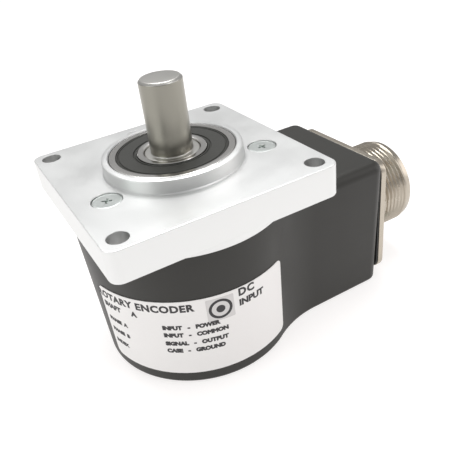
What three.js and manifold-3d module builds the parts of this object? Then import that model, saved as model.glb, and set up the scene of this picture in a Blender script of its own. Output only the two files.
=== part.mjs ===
// Rotary encoder with a square servo flange, a round cover and a side connector.
// Millimetres, +Z up along the shaft, +X towards the connector.
// The origin is the centre of the rear face, on the shaft's axis.

import * as THREE from 'three';
import { LoftGeometry } from 'three/addons/geometries/LoftGeometry.js';
import { mergeVertices } from 'three/addons/utils/BufferGeometryUtils.js';
import Module from 'manifold-3d';

const wasm = await Module();
wasm.setup();

// ---------------------------------------------------------------- driving dimensions

const BODY_LENGTH = 45.7; // rear face to the flange's front face
const RUNNING_GAP = 0.05; // radial play of a piece in its seat
const ROUND_SEGMENTS = 28; // shaft, bearings and their seats
const SMALL_SEGMENTS = 10; // screws, pins and their holes
const CORNER_STEPS = 4; // along each rounded corner
const OVERCUT = 1; // a cutting tool reaches this far past what it cuts

// Flange
const FLANGE_SIDE = 52.3;
const FLANGE_THICKNESS = 7.4;
const FLANGE_CORNER_RADIUS = 2.6;
const FLANGE_CHAMFER = 0.3;
const MOUNTING_HOLE_SPACING = 44.45;
const MOUNTING_HOLE_DIAMETER = 4.4;
const HOLE_CHAMFER = 0.25;
const PILOT_DIAMETER = 31.75;
const PILOT_HEIGHT = 3.175;
const PILOT_CHAMFER = 0.5;
const SPIGOT_HEIGHT = 2.25;
const SPIGOT_OVERHANG = 0.1; // the spigot stands this far outside the cover
const REGISTER_HEIGHT = 3;
const REGISTER_GAP = 0.15;
const HUB_WALL = 2;

// Flange screws, at their angles about the shaft
const FLANGE_SCREW_ANGLES = [90, 201, 338.5];
const FLANGE_SCREW_TURNS = [25, 62, 8]; // where each screw's recess came to rest
const FLANGE_SCREW_DIAMETER = 3.5;
const FLANGE_SCREW_LENGTH = 16;
const FLANGE_SCREW_HEAD = 6.4;
const FLANGE_SCREW_RIM = 0.3; // straight edge of the head, above its cone
const FLANGE_SCREW_SINK = 0.2; // head below the flange's face
const FLANGE_SCREW_RECESS = 1.3; // depth of its cross recess
const SCREW_TIP_CHAMFER = 0.5;
const SCREW_PLAY = 0.1;
const COUNTERSINK_DIAMETER = 7;

// Cover: a drafted cup with a connector box on one side
const COVER_DIAMETER = 50.4; // at the rim
const COVER_DRAFT = 0.0385; // inward per millimetre down from the rim
const COVER_WALL = 2;
const COVER_FLOOR = 2.4;
const COVER_REAR_ROUND = 1.2;
const BOX_REACH = 47; // shaft axis to the box's end face
const BOX_WIDTH = 36.2; // at the rim
const BOX_ROUND = 2.6;
const BOX_SIDE_WALL = 2.2;
const BOX_END_WALL = 4;
const BOX_ROOF = 2.8;
const BOX_CORNER_RADIUS = 3;
const BOX_FILLET_RADIUS = 24; // where the box leaves the round wall
const ROUND_WALL_STEPS = 40;
const FILLET_STEPS = 6;
const EDGE_STEPS = 3; // across a rounded edge
const CAVITY_SEGMENTS = 48;
const COLUMN_DIAMETER = 6.4;
const COLUMN_BITE = 0.2; // how far a column runs into the round wall
const COLUMN_SEGMENTS = 20;
const TAPPED_HOLE_CLEARANCE = 0.3; // past the tip of a connector screw

// O-ring between the flange's register and the cover
const O_RING_SECTION = 1.1;
const O_RING_GROOVE_HEIGHT = 1.5;

// Bearings, one inch-size sealed bearing at each end of the hub
const BEARING_BORE = 12.7;
const BEARING_OUTSIDE = 28.575;
const BEARING_WIDTH = 7.94;
const BEARING_SETBACK = 0.15; // front bearing below the pilot's face
const BEARING_SPACING = 6; // between the two bearings
const BALL_COUNT = 8;
const BALL_SHARE = 0.5; // ball diameter, as a share of the section between bore and outside
const LAND_SHARE = 0.6; // land's distance from the pitch circle, in ball radii
const GROOVE_FLAT_SHARE = 0.38; // half width of the ball groove's floor, in ball radii
const OUTER_RIM_SHARE = 0.2; // outer ring's rim, as a share of the section
const INNER_RIM_SHARE = 0.19; // inner ring's rim, as a share of the section
const RACE_GAP = 0.1;
const SEAL_THICKNESS = 0.8;
const SEAL_SETBACK = 0.15;
const SEAL_LIP_GAP = 0.1;
const CAGE_THICKNESS = 0.7;
const CAGE_HEIGHT = 3.2;
const WAVE_WASHER_THICKNESS = 0.8;
const CIRCLIP_THICKNESS = 1.1;
const CIRCLIP_DEPTH = 0.75; // into its groove
const CIRCLIP_OPENING = 1.4; // its gap, in widths of its band
const SHAFT_CLIP_GROOVE = 0.45; // depth of the groove in the shaft's seat
const HUB_LIP = 1.4;

// Shaft
const SHAFT_DIAMETER = 9.525;
const SHAFT_LENGTH = 19.2; // out of the flange's front face
const SHAFT_CHAMFER = 0.5;
const SHOULDER_SETBACK = 0.3; // shaft shoulder below the front bearing's face
const COLLAR_DIAMETER = 15.6; // between the bearings' inner rings
const SPINDLE_DIAMETER = 8;
const SEAT_RUNOUT = 2; // seat past the rear bearing, for the retaining ring

// Code disc and its hub
const DISC_DIAMETER = 32;
const DISC_THICKNESS = 0.5;
const DISC_HUB_FLANGE = 18;
const DISC_HUB_FLANGE_THICKNESS = 1;
const DISC_HUB_COLLAR = 13;
const DISC_HUB_COLLAR_HEIGHT = 4;
const DISC_HUB_DROP = 2.2; // hub below the end of the bearing seat
const DISC_BORE = 10;
const SET_SCREW_DIAMETER = 2.4;
const SET_SCREW_SINK = 0.2;
const DISC_SEGMENTS = 40;

// Signal board, standing on the flange with three hexagon standoffs
const BOARD_THICKNESS = 1.6;
const BOARD_HEIGHT = 11; // board's underside above the rear face
const BOARD_GAP = 1; // board's edge to the cover
const BOARD_SEGMENTS = 40;
const NOTCH_SEGMENTS = 16;
const STANDOFF_ANGLES = [50, 145, 233];
const STANDOFF_ACROSS_FLATS = 4;
const STANDOFF_GAP = 0.24; // standoff's corners to the bearing hub and the code disc
const STUD_DIAMETER = 2.5;
const STUD_LENGTH = 4;
const STUD_HOLE_CLEARANCE = 0.5; // past the stud's end
const BOARD_SCREW_DIAMETER = 2;
const BOARD_SCREW_HEAD = 4;
const BOARD_SCREW_HEAD_HEIGHT = 1.4;
const BOARD_SCREW_LENGTH = 5;
const PAN_EDGE_SHARE = 0.6; // straight edge of a pan head, as a share of its height
const PAN_CROWN_SHARE = 0.64; // flat crown of a pan head, as a share of its radius
const PAN_RECESS_SHARE = 0.5; // depth of its recess, as a share of its height
const RECESS_LENGTH_SHARE = 1.1; // length of a recess slot, in head radii
const RECESS_WIDTH_SHARE = 0.3; // width of a recess slot, in head radii
const SIGNAL_PROCESSOR_SIZE = [9, 9, 1.6];
const SIGNAL_PROCESSOR_PLACE = [-6, 5];
const LINE_DRIVER_SIZE = [10.4, 7.5, 2.2];
const LINE_DRIVER_PLACE = [-3, -9];

// Read head, a C-shaped block round the disc's edge
const HEAD_WIDTH = 9;
const HEAD_BACK_WALL = 2.4;
const HEAD_REACH = 4.6; // arms inside the disc's edge
const HEAD_ARM = 3;
const AIR_GAP = 1;
const RETICLE_THICKNESS = 0.6;
const RETICLE_MARGIN = 0.3; // reticle's edge inside the head's arm
const EMITTER_DIAMETER = 3;
const EMITTER_SETBACK = 0.2; // emitter's lens above the disc's slot
const DETECTOR_SIZE = [3.6, 2.6, 1];
const DETECTOR_CLEARANCE = 0.3;

// Connector: box-mounting receptacle with seven pins
const CONNECTOR_HEIGHT = 18.2; // its axis above the rear face
const GASKET_THICKNESS = 0.5;
const GASKET_INSET = 0.5; // gasket's edge inside the plate's
const GASKET_CLEARANCE = 0.4; // gasket's hole round the skirt
const PLATE_SIDE = 32.4;
const PLATE_THICKNESS = 1.6;
const PLATE_CORNER_RADIUS = 3.4;
const PLATE_HOLE_SPACING = 24.6;
const SHELL_DIAMETER = 23.8;
const SHELL_LENGTH = 14.3; // plate's front to the mouth
const SHELL_BORE = 19.8;
const SHELL_LIP = 1.5; // plain end past the thread
const SHELL_LIP_STEP = 0.4;
const SHELL_UNDERCUT = 0.7;
const SHELL_UNDERCUT_LENGTH = 1;
const SHELL_SKIRT = 21.2;
const SHELL_SKIRT_LENGTH = 3;
const INSERT_FACE = 2.4; // insert's face past the plate's front
const INSERT_RING_WIDTH = 1;
const INSERT_RING_DEPTH = 0.4;
const INSERT_RING_STAND = 1; // how far the ring stands into the bore
const PIN_DIAMETER = 1.59;
const PIN_SHANK_DIAMETER = 2.07; // in the insert
const PIN_TIP_SHARE = 0.5; // flat of the rounded tip, as a share of the pin's radius
const PIN_SEGMENTS = 8;
const PIN_CIRCLE = 10.4;
const PIN_TIP_SETBACK = 4.2; // pin's tip inside the mouth
const PIN_TAIL = 2.6; // solder cup behind the insert
const CONNECTOR_SCREW_DIAMETER = 2.9;
const CONNECTOR_SCREW_LENGTH = 5.4;
const CONNECTOR_SCREW_HEAD = 5.2;
const CONNECTOR_SCREW_HEAD_HEIGHT = 1.9;

// Wires from the board to the pins
const WIRE_DIAMETER = 1.1;
const WIRE_PITCH = 2;
const WIRE_ROW_CENTRE = 4;
const WIRE_END_GAP = 0.3;
const WIRE_STRAIGHT = 5; // before the bend at each end
const WIRE_STEPS = 7;
const WIRE_SECTION_STEPS = 3;
const HEADER_SIZE = [4, 15, 4.6];
const HEADER_INSET = 7.84; // header's inner side, inside the board's edge

// Label on the round wall
const LABEL_BOTTOM = 3.6;
const LABEL_HEIGHT = 21.5;
const LABEL_ANGLES = [-171.5, -59.5];
const LABEL_THICKNESS = 0.12;
const LABEL_GAP = 0.05;
const LABEL_STEPS = 38;

// ---------------------------------------------------------------- levels and radii

const FLANGE_UNDERSIDE = BODY_LENGTH - FLANGE_THICKNESS;
const COVER_TOP = FLANGE_UNDERSIDE - SPIGOT_HEIGHT;
const REGISTER_BOTTOM = COVER_TOP - REGISTER_HEIGHT;
const PILOT_TOP = BODY_LENGTH + PILOT_HEIGHT;
const SCREW_TIP_LEVEL = BODY_LENGTH - FLANGE_SCREW_SINK - FLANGE_SCREW_LENGTH;

const COVER_RADIUS = COVER_DIAMETER / 2;
const CAVITY_RADIUS = COVER_RADIUS - COVER_WALL;
const FLOOR_CAVITY_RADIUS = CAVITY_RADIUS - COVER_DRAFT * (COVER_TOP - COVER_FLOOR);
const REGISTER_RADIUS = CAVITY_RADIUS - REGISTER_GAP;
const COLUMN_CIRCLE = CAVITY_RADIUS + COLUMN_BITE - COLUMN_DIAMETER / 2;
const O_RING_LEVEL = COVER_TOP - REGISTER_HEIGHT / 2;

const BEARING_SEAT_RADIUS = BEARING_OUTSIDE / 2;
const HUB_RADIUS = BEARING_SEAT_RADIUS + HUB_WALL;
const FRONT_BEARING_LEVEL = PILOT_TOP - BEARING_SETBACK - BEARING_WIDTH / 2;
const REAR_BEARING_LEVEL = FRONT_BEARING_LEVEL - BEARING_WIDTH - BEARING_SPACING;
const FRONT_BEARING_REAR = FRONT_BEARING_LEVEL - BEARING_WIDTH / 2;
const REAR_BEARING_FRONT = REAR_BEARING_LEVEL + BEARING_WIDTH / 2;
const REAR_BEARING_REAR = REAR_BEARING_LEVEL - BEARING_WIDTH / 2;
const CIRCLIP_TOP = REAR_BEARING_REAR - WAVE_WASHER_THICKNESS;
const CIRCLIP_BOTTOM = CIRCLIP_TOP - CIRCLIP_THICKNESS;
const HUB_BOTTOM = CIRCLIP_BOTTOM - HUB_LIP;

const RING_HEIGHT = (BEARING_OUTSIDE - BEARING_BORE) / 2;
const BALL_RADIUS = (RING_HEIGHT * BALL_SHARE) / 2;
const PITCH_RADIUS = (BEARING_OUTSIDE + BEARING_BORE) / 4;
const OUTER_LAND_RADIUS = PITCH_RADIUS + BALL_RADIUS * LAND_SHARE;
const INNER_LAND_RADIUS = PITCH_RADIUS - BALL_RADIUS * LAND_SHARE;
const SEAL_OUTER_RADIUS = BEARING_SEAT_RADIUS - RING_HEIGHT * OUTER_RIM_SHARE;
const SEAL_INNER_RADIUS = BEARING_BORE / 2 + RING_HEIGHT * INNER_RIM_SHARE;
const SEAL_POCKET = SEAL_SETBACK + SEAL_THICKNESS + RUNNING_GAP;

const SHAFT_TIP = BODY_LENGTH + SHAFT_LENGTH;
const SHOULDER_LEVEL = PILOT_TOP - BEARING_SETBACK - SHOULDER_SETBACK;
const SEAT_BOTTOM = REAR_BEARING_REAR - SEAT_RUNOUT;
const DISC_HUB_TOP = SEAT_BOTTOM - DISC_HUB_DROP;
const DISC_TOP = DISC_HUB_TOP - DISC_HUB_COLLAR_HEIGHT - DISC_HUB_FLANGE_THICKNESS;
const DISC_BOTTOM = DISC_TOP - DISC_THICKNESS;

const BOARD_TOP = BOARD_HEIGHT + BOARD_THICKNESS;
const BOARD_RADIUS = FLOOR_CAVITY_RADIUS + COVER_DRAFT * (BOARD_HEIGHT - COVER_FLOOR) - BOARD_GAP;
const STANDOFF_CORNER_RADIUS = STANDOFF_ACROSS_FLATS / Math.sqrt(3);
const INNER_CLEARANCE_RADIUS = Math.max(HUB_RADIUS, DISC_DIAMETER / 2) + STANDOFF_GAP;
const STANDOFF_CIRCLE = INNER_CLEARANCE_RADIUS + STANDOFF_CORNER_RADIUS;
const HEADER_START = BOARD_RADIUS - HEADER_INSET;
const RETICLE_TOP = DISC_BOTTOM - AIR_GAP;
const RETICLE_BOTTOM = RETICLE_TOP - RETICLE_THICKNESS;
const HEAD_INNER = DISC_DIAMETER / 2 - HEAD_REACH;
const HEAD_THROAT = DISC_DIAMETER / 2 + AIR_GAP;
const HEAD_OUTER = HEAD_THROAT + HEAD_BACK_WALL;
const HEAD_TOP = DISC_TOP + AIR_GAP + HEAD_ARM;
const TRACK_RADIUS = (DISC_DIAMETER / 2 + HEAD_INNER) / 2;

const PLATE_BACK = BOX_REACH + GASKET_THICKNESS;
const PLATE_FRONT = PLATE_BACK + PLATE_THICKNESS;
const MOUTH = PLATE_FRONT + SHELL_LENGTH;
const INSERT_FRONT = PLATE_FRONT + INSERT_FACE;
const INSERT_BACK = PLATE_BACK - SHELL_SKIRT_LENGTH;
const PIN_TIP = MOUTH - PIN_TIP_SETBACK;
const PIN_END = INSERT_BACK - PIN_TAIL;
const CONNECTOR_SCREW_TIP = PLATE_FRONT - CONNECTOR_SCREW_LENGTH;

const PIN_NAMES = ['a', 'b', 'c', 'd', 'e', 'f', 'g'];

// ---------------------------------------------------------------- materials

const metal = (color, roughness) => ({ color, roughness, metalness: 1 });
const plastic = (color, roughness) => ({ color, roughness, metalness: 0 });

const ALUMINIUM = metal(0xdcdddb, 0.38);
const SHAFT_STEEL = metal(0xb9b2a8, 0.3);
const BEARING_STEEL = metal(0xc4c2be, 0.2);
const ZINC_STEEL = metal(0xd2d6d0, 0.35);
const SPRING_STEEL = metal(0x8d8b86, 0.4);
const BRASS = metal(0xc9a45c, 0.35);
const GOLD = metal(0xd8b25a, 0.25);
const NICKEL = metal(0xbdb3a6, 0.36);
const BLACK_COVER = plastic(0x46443f, 0.55);
const SEAL_RUBBER = plastic(0x4a4a46, 0.6);
const GASKET_RUBBER = plastic(0x2a2a29, 0.8);
const BLACK_PLASTIC = plastic(0x252525, 0.5);
const INSERT_PLASTIC = plastic(0x5b6a66, 0.6);
const BOARD_GREEN = plastic(0x1f6b45, 0.45);
const LABEL_VINYL = plastic(0xe2dedd, 0.5);
const CLEAR_GLASS = plastic(0xbfd3d2, 0.1);
const WIRE_COLOURS = [0xb32020, 0x1a1a1a, 0xe6e6e0, 0x2b8a3e, 0x2457b5, 0xe0b400, 0x8a5a2b];

// ---------------------------------------------------------------- helpers

const radians = THREE.MathUtils.degToRad;

/** Point at a radius and an angle in degrees about Z. */
function polar(radius, degrees, z = 0) {
  const angle = radians(degrees);
  return new THREE.Vector3(radius * Math.cos(angle), radius * Math.sin(angle), z);
}

/** Solid of revolution about Z from [radius, height] pairs, closed on itself or on the axis. */
function turned(profile, segments = ROUND_SEGMENTS) {
  const onAxis = profile[0][0] === 0;
  const points = profile.map(([r, z]) => new THREE.Vector2(r, z));
  if (THREE.ShapeUtils.isClockWise(points)) points.reverse();
  if (!onAxis) points.push(points[0].clone());
  return new THREE.LatheGeometry(points, segments).rotateX(Math.PI / 2);
}

/** Plain ring or disc between two heights. */
function ring(inner, outer, bottom, top, segments = ROUND_SEGMENTS) {
  return turned([[inner, bottom], [outer, bottom], [outer, top], [inner, top]], segments);
}

function rod(radius, bottom, top, segments = SMALL_SEGMENTS) {
  return turned([[0, bottom], [radius, bottom], [radius, top], [0, top]], segments);
}

function block(width, depth, height, x, y, z) {
  return new THREE.BoxGeometry(width, depth, height).translate(x, y, z);
}

/** Turns a piece built along +Z to lie along +X at the connector's height. */
function alongConnector(geometry) {
  return geometry.rotateY(Math.PI / 2).translate(0, 0, CONNECTOR_HEIGHT);
}

/** Points along an arc about a centre in the XY plane, both ends included. */
function arcPoints(x, y, radius, fromDegrees, toDegrees, steps) {
  return Array.from({ length: steps + 1 }, (_, i) => {
    const place = polar(radius, fromDegrees + ((toDegrees - fromDegrees) * i) / steps);
    return new THREE.Vector2(x + place.x, y + place.y);
  });
}

function roundedSquare(side, cornerRadius) {
  const inner = side / 2 - cornerRadius;
  return new THREE.Shape([
    ...arcPoints(inner, inner, cornerRadius, 0, 90, CORNER_STEPS),
    ...arcPoints(-inner, inner, cornerRadius, 90, 180, CORNER_STEPS),
    ...arcPoints(-inner, -inner, cornerRadius, 180, 270, CORNER_STEPS),
    ...arcPoints(inner, -inner, cornerRadius, 270, 360, CORNER_STEPS),
  ]);
}

function roundHole(radius) {
  return new THREE.Path(arcPoints(0, 0, radius, 360, 0, ROUND_SEGMENTS).slice(0, -1));
}

function toSolid(geometry) {
  const bare = new THREE.BufferGeometry().copy(geometry);
  bare.deleteAttribute('normal');
  bare.deleteAttribute('uv');
  const merged = mergeVertices(bare);
  return new wasm.Manifold(new wasm.Mesh({
    numProp: 3,
    vertProperties: merged.attributes.position.array,
    triVerts: new Uint32Array(merged.index.array),
  }));
}

function toGeometry(solid) {
  const mesh = solid.getMesh();
  const geometry = new THREE.BufferGeometry();
  geometry.setAttribute('position', new THREE.BufferAttribute(mesh.vertProperties, 3));
  geometry.setIndex(new THREE.BufferAttribute(mesh.triVerts, 1));
  return geometry;
}

function join(...geometries) {
  return toGeometry(geometries.map(toSolid).reduce((whole, piece) => whole.add(piece)));
}

function cut(geometry, ...tools) {
  return toGeometry(tools.map(toSolid).reduce((whole, tool) => whole.subtract(tool), toSolid(geometry)));
}

/** Copies of one geometry moved to each of the given points. */
function copies(geometry, points) {
  return points.map((point) => geometry.clone().translate(point.x, point.y, point.z));
}

const encoder = new THREE.Group();

function add(name, geometry, look) {
  const mesh = new THREE.Mesh(geometry, new THREE.MeshStandardMaterial(look));
  mesh.name = name;
  encoder.add(mesh);
  return mesh;
}

const screwPoints = FLANGE_SCREW_ANGLES.map((angle) => polar(COLUMN_CIRCLE, angle));
const standoffPoints = STANDOFF_ANGLES.map((angle) => polar(STANDOFF_CIRCLE, angle));

/** The four corners of a square pattern, in the XY plane. */
function squarePattern(spacing) {
  const half = spacing / 2;
  return [[half, half], [-half, half], [-half, -half], [half, -half]]
    .map(([x, y]) => new THREE.Vector3(x, y, 0));
}

// ---------------------------------------------------------------- flange

function flangeBlank() {
  const shape = roundedSquare(FLANGE_SIDE, FLANGE_CORNER_RADIUS);
  shape.holes.push(roundHole((BEARING_SEAT_RADIUS + PILOT_DIAMETER / 2) / 2));
  return new THREE.ExtrudeGeometry(shape, {
    depth: FLANGE_THICKNESS - 2 * FLANGE_CHAMFER,
    bevelThickness: FLANGE_CHAMFER,
    bevelSize: FLANGE_CHAMFER,
    bevelOffset: -FLANGE_CHAMFER,
    bevelSegments: 1,
  }).translate(0, 0, FLANGE_UNDERSIDE + FLANGE_CHAMFER);
}

/** Pilot, spigot, register and bearing hub as one turned ring. */
function flangeRing() {
  const pilot = PILOT_DIAMETER / 2;
  const spigot = COVER_RADIUS + SPIGOT_OVERHANG;
  const seat = BEARING_SEAT_RADIUS + RUNNING_GAP;
  const stop = SEAL_OUTER_RADIUS;
  const clipGroove = seat + CIRCLIP_DEPTH;
  const grooveFloor = REGISTER_RADIUS - O_RING_SECTION;
  const grooveHalf = O_RING_GROOVE_HEIGHT / 2;
  const inside = FLANGE_UNDERSIDE + FLANGE_THICKNESS / 2; // hidden in the square plate
  return turned([
    [seat, PILOT_TOP],
    [seat, FRONT_BEARING_REAR],
    [stop, FRONT_BEARING_REAR],
    [stop, REAR_BEARING_FRONT],
    [seat, REAR_BEARING_FRONT],
    [seat, CIRCLIP_TOP],
    [clipGroove, CIRCLIP_TOP],
    [clipGroove, CIRCLIP_BOTTOM],
    [seat, CIRCLIP_BOTTOM],
    [seat, HUB_BOTTOM],
    [HUB_RADIUS, HUB_BOTTOM],
    [HUB_RADIUS, REGISTER_BOTTOM],
    [REGISTER_RADIUS, REGISTER_BOTTOM],
    [REGISTER_RADIUS, O_RING_LEVEL - grooveHalf],
    [grooveFloor, O_RING_LEVEL - grooveHalf],
    [grooveFloor, O_RING_LEVEL + grooveHalf],
    [REGISTER_RADIUS, O_RING_LEVEL + grooveHalf],
    [REGISTER_RADIUS, COVER_TOP],
    [spigot, COVER_TOP],
    [spigot, inside],
    [pilot, inside],
    [pilot, PILOT_TOP - PILOT_CHAMFER],
    [pilot - PILOT_CHAMFER, PILOT_TOP],
  ]);
}

function mountingHole() {
  const radius = MOUNTING_HOLE_DIAMETER / 2;
  const over = BODY_LENGTH + OVERCUT;
  return turned([
    [0, FLANGE_UNDERSIDE - OVERCUT],
    [radius, FLANGE_UNDERSIDE - OVERCUT],
    [radius, BODY_LENGTH - HOLE_CHAMFER],
    [radius + HOLE_CHAMFER, BODY_LENGTH],
    [radius + HOLE_CHAMFER, over],
    [0, over],
  ], SMALL_SEGMENTS);
}

function countersunkHole() {
  const radius = FLANGE_SCREW_DIAMETER / 2 + SCREW_PLAY;
  const mouth = COUNTERSINK_DIAMETER / 2;
  const over = BODY_LENGTH + OVERCUT;
  const rim = BODY_LENGTH - FLANGE_SCREW_SINK - FLANGE_SCREW_RIM;
  return turned([
    [0, REGISTER_BOTTOM - OVERCUT],
    [radius, REGISTER_BOTTOM - OVERCUT],
    [radius, rim - (mouth - radius)],
    [mouth, rim],
    [mouth, over],
    [0, over],
  ], SMALL_SEGMENTS);
}

function buildFlange() {
  const studHole = rod(
    STUD_DIAMETER / 2 + SCREW_PLAY,
    REGISTER_BOTTOM - OVERCUT,
    REGISTER_BOTTOM + STUD_LENGTH + STUD_HOLE_CLEARANCE,
  );
  const plate = cut(
    join(flangeBlank(), flangeRing()),
    ...copies(mountingHole(), squarePattern(MOUNTING_HOLE_SPACING)),
    ...copies(countersunkHole(), screwPoints),
    ...copies(studHole, standoffPoints),
  );
  add('flange_plate', plate, ALUMINIUM);

  const section = O_RING_SECTION / 2;
  const centre = REGISTER_RADIUS - section + REGISTER_GAP / 2;
  const square = Array.from({ length: 4 }, (_, i) => polar(section, 90 * i));
  const oRing = turned(square.map((p) => [centre + p.x, O_RING_LEVEL + p.y]));
  add('flange_o_ring', oRing, GASKET_RUBBER);
}

/** Countersunk machine screw with a cross recess, head up at height zero. */
function countersunkScrew() {
  const shank = FLANGE_SCREW_DIAMETER / 2;
  const head = FLANGE_SCREW_HEAD / 2;
  const rim = FLANGE_SCREW_RIM - RUNNING_GAP;
  const body = turned([
    [0, -FLANGE_SCREW_LENGTH],
    [shank - SCREW_TIP_CHAMFER, -FLANGE_SCREW_LENGTH],
    [shank, -FLANGE_SCREW_LENGTH + SCREW_TIP_CHAMFER],
    [shank, -rim - (head - shank)],
    [head, -rim],
    [head, 0],
    [0, 0],
  ], SMALL_SEGMENTS);
  return cut(body, ...crossRecess(head, FLANGE_SCREW_RECESS));
}

/** Two crossed slots for a cross-head driver, cut down from height zero. */
function crossRecess(headRadius, depth) {
  const length = headRadius * RECESS_LENGTH_SHARE;
  const width = headRadius * RECESS_WIDTH_SHARE;
  return [
    block(length, width, 2 * depth, 0, 0, 0),
    block(width, length, 2 * depth, 0, 0, 0),
  ];
}

function buildFlangeScrews() {
  screwPoints.forEach((point, i) => {
    const screw = add(`flange_screw_${i + 1}`, countersunkScrew(), ZINC_STEEL);
    screw.position.set(point.x, point.y, BODY_LENGTH - FLANGE_SCREW_SINK);
    screw.rotation.z = radians(FLANGE_SCREW_TURNS[i]);
  });
}

// ---------------------------------------------------------------- cover

/** Outline of the cover, moved in by `inset`; the box's end face moves in by `endInset`. */
function coverOutline(inset, endInset) {
  const radius = COVER_RADIUS - inset;
  const half = BOX_WIDTH / 2 - inset;
  const fillet = BOX_FILLET_RADIUS + inset;
  const end = BOX_REACH - endInset;
  const corner = BOX_CORNER_RADIUS - endInset;
  const filletY = BOX_WIDTH / 2 + BOX_FILLET_RADIUS;
  const filletX = Math.sqrt((COVER_RADIUS + BOX_FILLET_RADIUS) ** 2 - filletY ** 2);
  const leave = Math.atan2(filletY, filletX);
  const shape = new THREE.Path();
  shape.absarc(0, 0, radius, leave, 2 * Math.PI - leave);
  shape.absarc(filletX, -filletY, fillet, Math.PI - leave, Math.PI / 2, true);
  shape.absarc(end - corner, -half + corner, corner, -Math.PI / 2, 0);
  shape.absarc(end - corner, half - corner, corner, 0, Math.PI / 2);
  shape.absarc(filletX, filletY, fillet, -Math.PI / 2, leave - Math.PI, true);
  const arcs = shape.curves.filter((curve) => curve.isEllipseCurve);
  const [round, rightFillet, rightCorner, leftCorner, leftFillet] = arcs;
  return [
    ...round.getPoints(ROUND_WALL_STEPS),
    ...rightFillet.getPoints(FILLET_STEPS).slice(1),
    ...rightCorner.getPoints(CORNER_STEPS),
    ...leftCorner.getPoints(CORNER_STEPS),
    ...leftFillet.getPoints(FILLET_STEPS).slice(0, -1),
  ];
}

/** One level of the cover. Only the box's edges are rounded at the rim, so the round wall seals. */
function coverSection(z, round, roundsWall) {
  const draft = COVER_DRAFT * (COVER_TOP - z);
  const sharp = coverOutline(draft, 0);
  const rounded = coverOutline(draft + round, round);
  return sharp.map((point, i) => {
    const onBox = THREE.MathUtils.smoothstep(point.x, COVER_RADIUS / 2, COVER_RADIUS);
    const share = roundsWall ? 1 : onBox;
    const moved = point.clone().lerp(rounded[i], share);
    return new THREE.Vector3(moved.x, moved.y, z);
  });
}

function coverBlank() {
  const sections = [];
  for (let i = 0; i < EDGE_STEPS; i += 1) {
    const angle = ((i / (EDGE_STEPS - 1)) * Math.PI) / 2;
    const inset = COVER_REAR_ROUND * (1 - Math.sin(angle));
    sections.push(coverSection(COVER_REAR_ROUND * (1 - Math.cos(angle)), inset, true));
  }
  for (let i = 0; i <= EDGE_STEPS; i += 1) {
    const angle = ((i / EDGE_STEPS) * Math.PI) / 2;
    const z = COVER_TOP - BOX_ROUND * (1 - Math.sin(angle));
    sections.push(coverSection(z, BOX_ROUND * (1 - Math.cos(angle)), false));
  }
  return new LoftGeometry(sections, { capStart: true, capEnd: true });
}

function coverCavity() {
  const over = COVER_TOP + OVERCUT;
  return turned([
    [0, COVER_FLOOR],
    [FLOOR_CAVITY_RADIUS, COVER_FLOOR],
    [CAVITY_RADIUS, COVER_TOP],
    [CAVITY_RADIUS, over],
    [0, over],
  ], CAVITY_SEGMENTS);
}

function boxCavity() {
  const roof = COVER_TOP - BOX_ROOF;
  const length = BOX_REACH - BOX_END_WALL;
  const halfWidth = BOX_WIDTH / 2 - COVER_DRAFT * COVER_TOP - BOX_SIDE_WALL;
  return block(length, 2 * halfWidth, roof - COVER_FLOOR, length / 2, 0, (roof + COVER_FLOOR) / 2);
}

function buildCover() {
  const columnHole = rod(
    FLANGE_SCREW_DIAMETER / 2 + SCREW_PLAY,
    SCREW_TIP_LEVEL - OVERCUT,
    REGISTER_BOTTOM + OVERCUT,
  );
  const column = cut(
    rod(COLUMN_DIAMETER / 2, COVER_FLOOR / 2, REGISTER_BOTTOM, COLUMN_SEGMENTS),
    columnHole,
  );
  const opening = alongConnector(rod(
    SHELL_SKIRT / 2 + 2 * RUNNING_GAP,
    BOX_REACH - BOX_END_WALL - OVERCUT,
    BOX_REACH + OVERCUT,
    ROUND_SEGMENTS,
  ));
  const tapped = rod(
    CONNECTOR_SCREW_DIAMETER / 2 + SCREW_PLAY,
    CONNECTOR_SCREW_TIP - TAPPED_HOLE_CLEARANCE,
    BOX_REACH + OVERCUT,
  );
  const screws = copies(tapped, squarePattern(PLATE_HOLE_SPACING)).map(alongConnector);
  const shell = cut(coverBlank(), coverCavity(), boxCavity(), opening, ...screws);
  add('housing_cover', join(shell, ...copies(column, screwPoints)), BLACK_COVER);
}

// ---------------------------------------------------------------- bearings

/** Half of the ball groove's width on the lands, with the running gap. */
const GROOVE_HALF = Math.sqrt(BALL_RADIUS ** 2 - (OUTER_LAND_RADIUS - PITCH_RADIUS) ** 2) + RACE_GAP;
const GROOVE_FLAT = BALL_RADIUS * GROOVE_FLAT_SHARE;

function bearingRing(seat, land, sealRadius, grooveFloor) {
  const half = BEARING_WIDTH / 2;
  const upper = [
    [seat, half],
    [sealRadius, half],
    [sealRadius, half - SEAL_POCKET],
    [land, half - SEAL_POCKET],
    [land, GROOVE_HALF],
    [grooveFloor, GROOVE_FLAT],
  ];
  const lower = upper.map(([r, z]) => [r, -z]).reverse();
  return turned([...upper, ...lower]);
}

function ballCage() {
  const inner = PITCH_RADIUS - CAGE_THICKNESS / 2;
  const band = ring(inner, inner + CAGE_THICKNESS, -CAGE_HEIGHT / 2, CAGE_HEIGHT / 2, 2 * BALL_COUNT);
  const ball = new THREE.OctahedronGeometry(BALL_RADIUS, 1);
  const places = Array.from(
    { length: BALL_COUNT },
    (_, i) => polar(PITCH_RADIUS, (360 * i) / BALL_COUNT),
  );
  return join(band, ...copies(ball, places));
}

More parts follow.
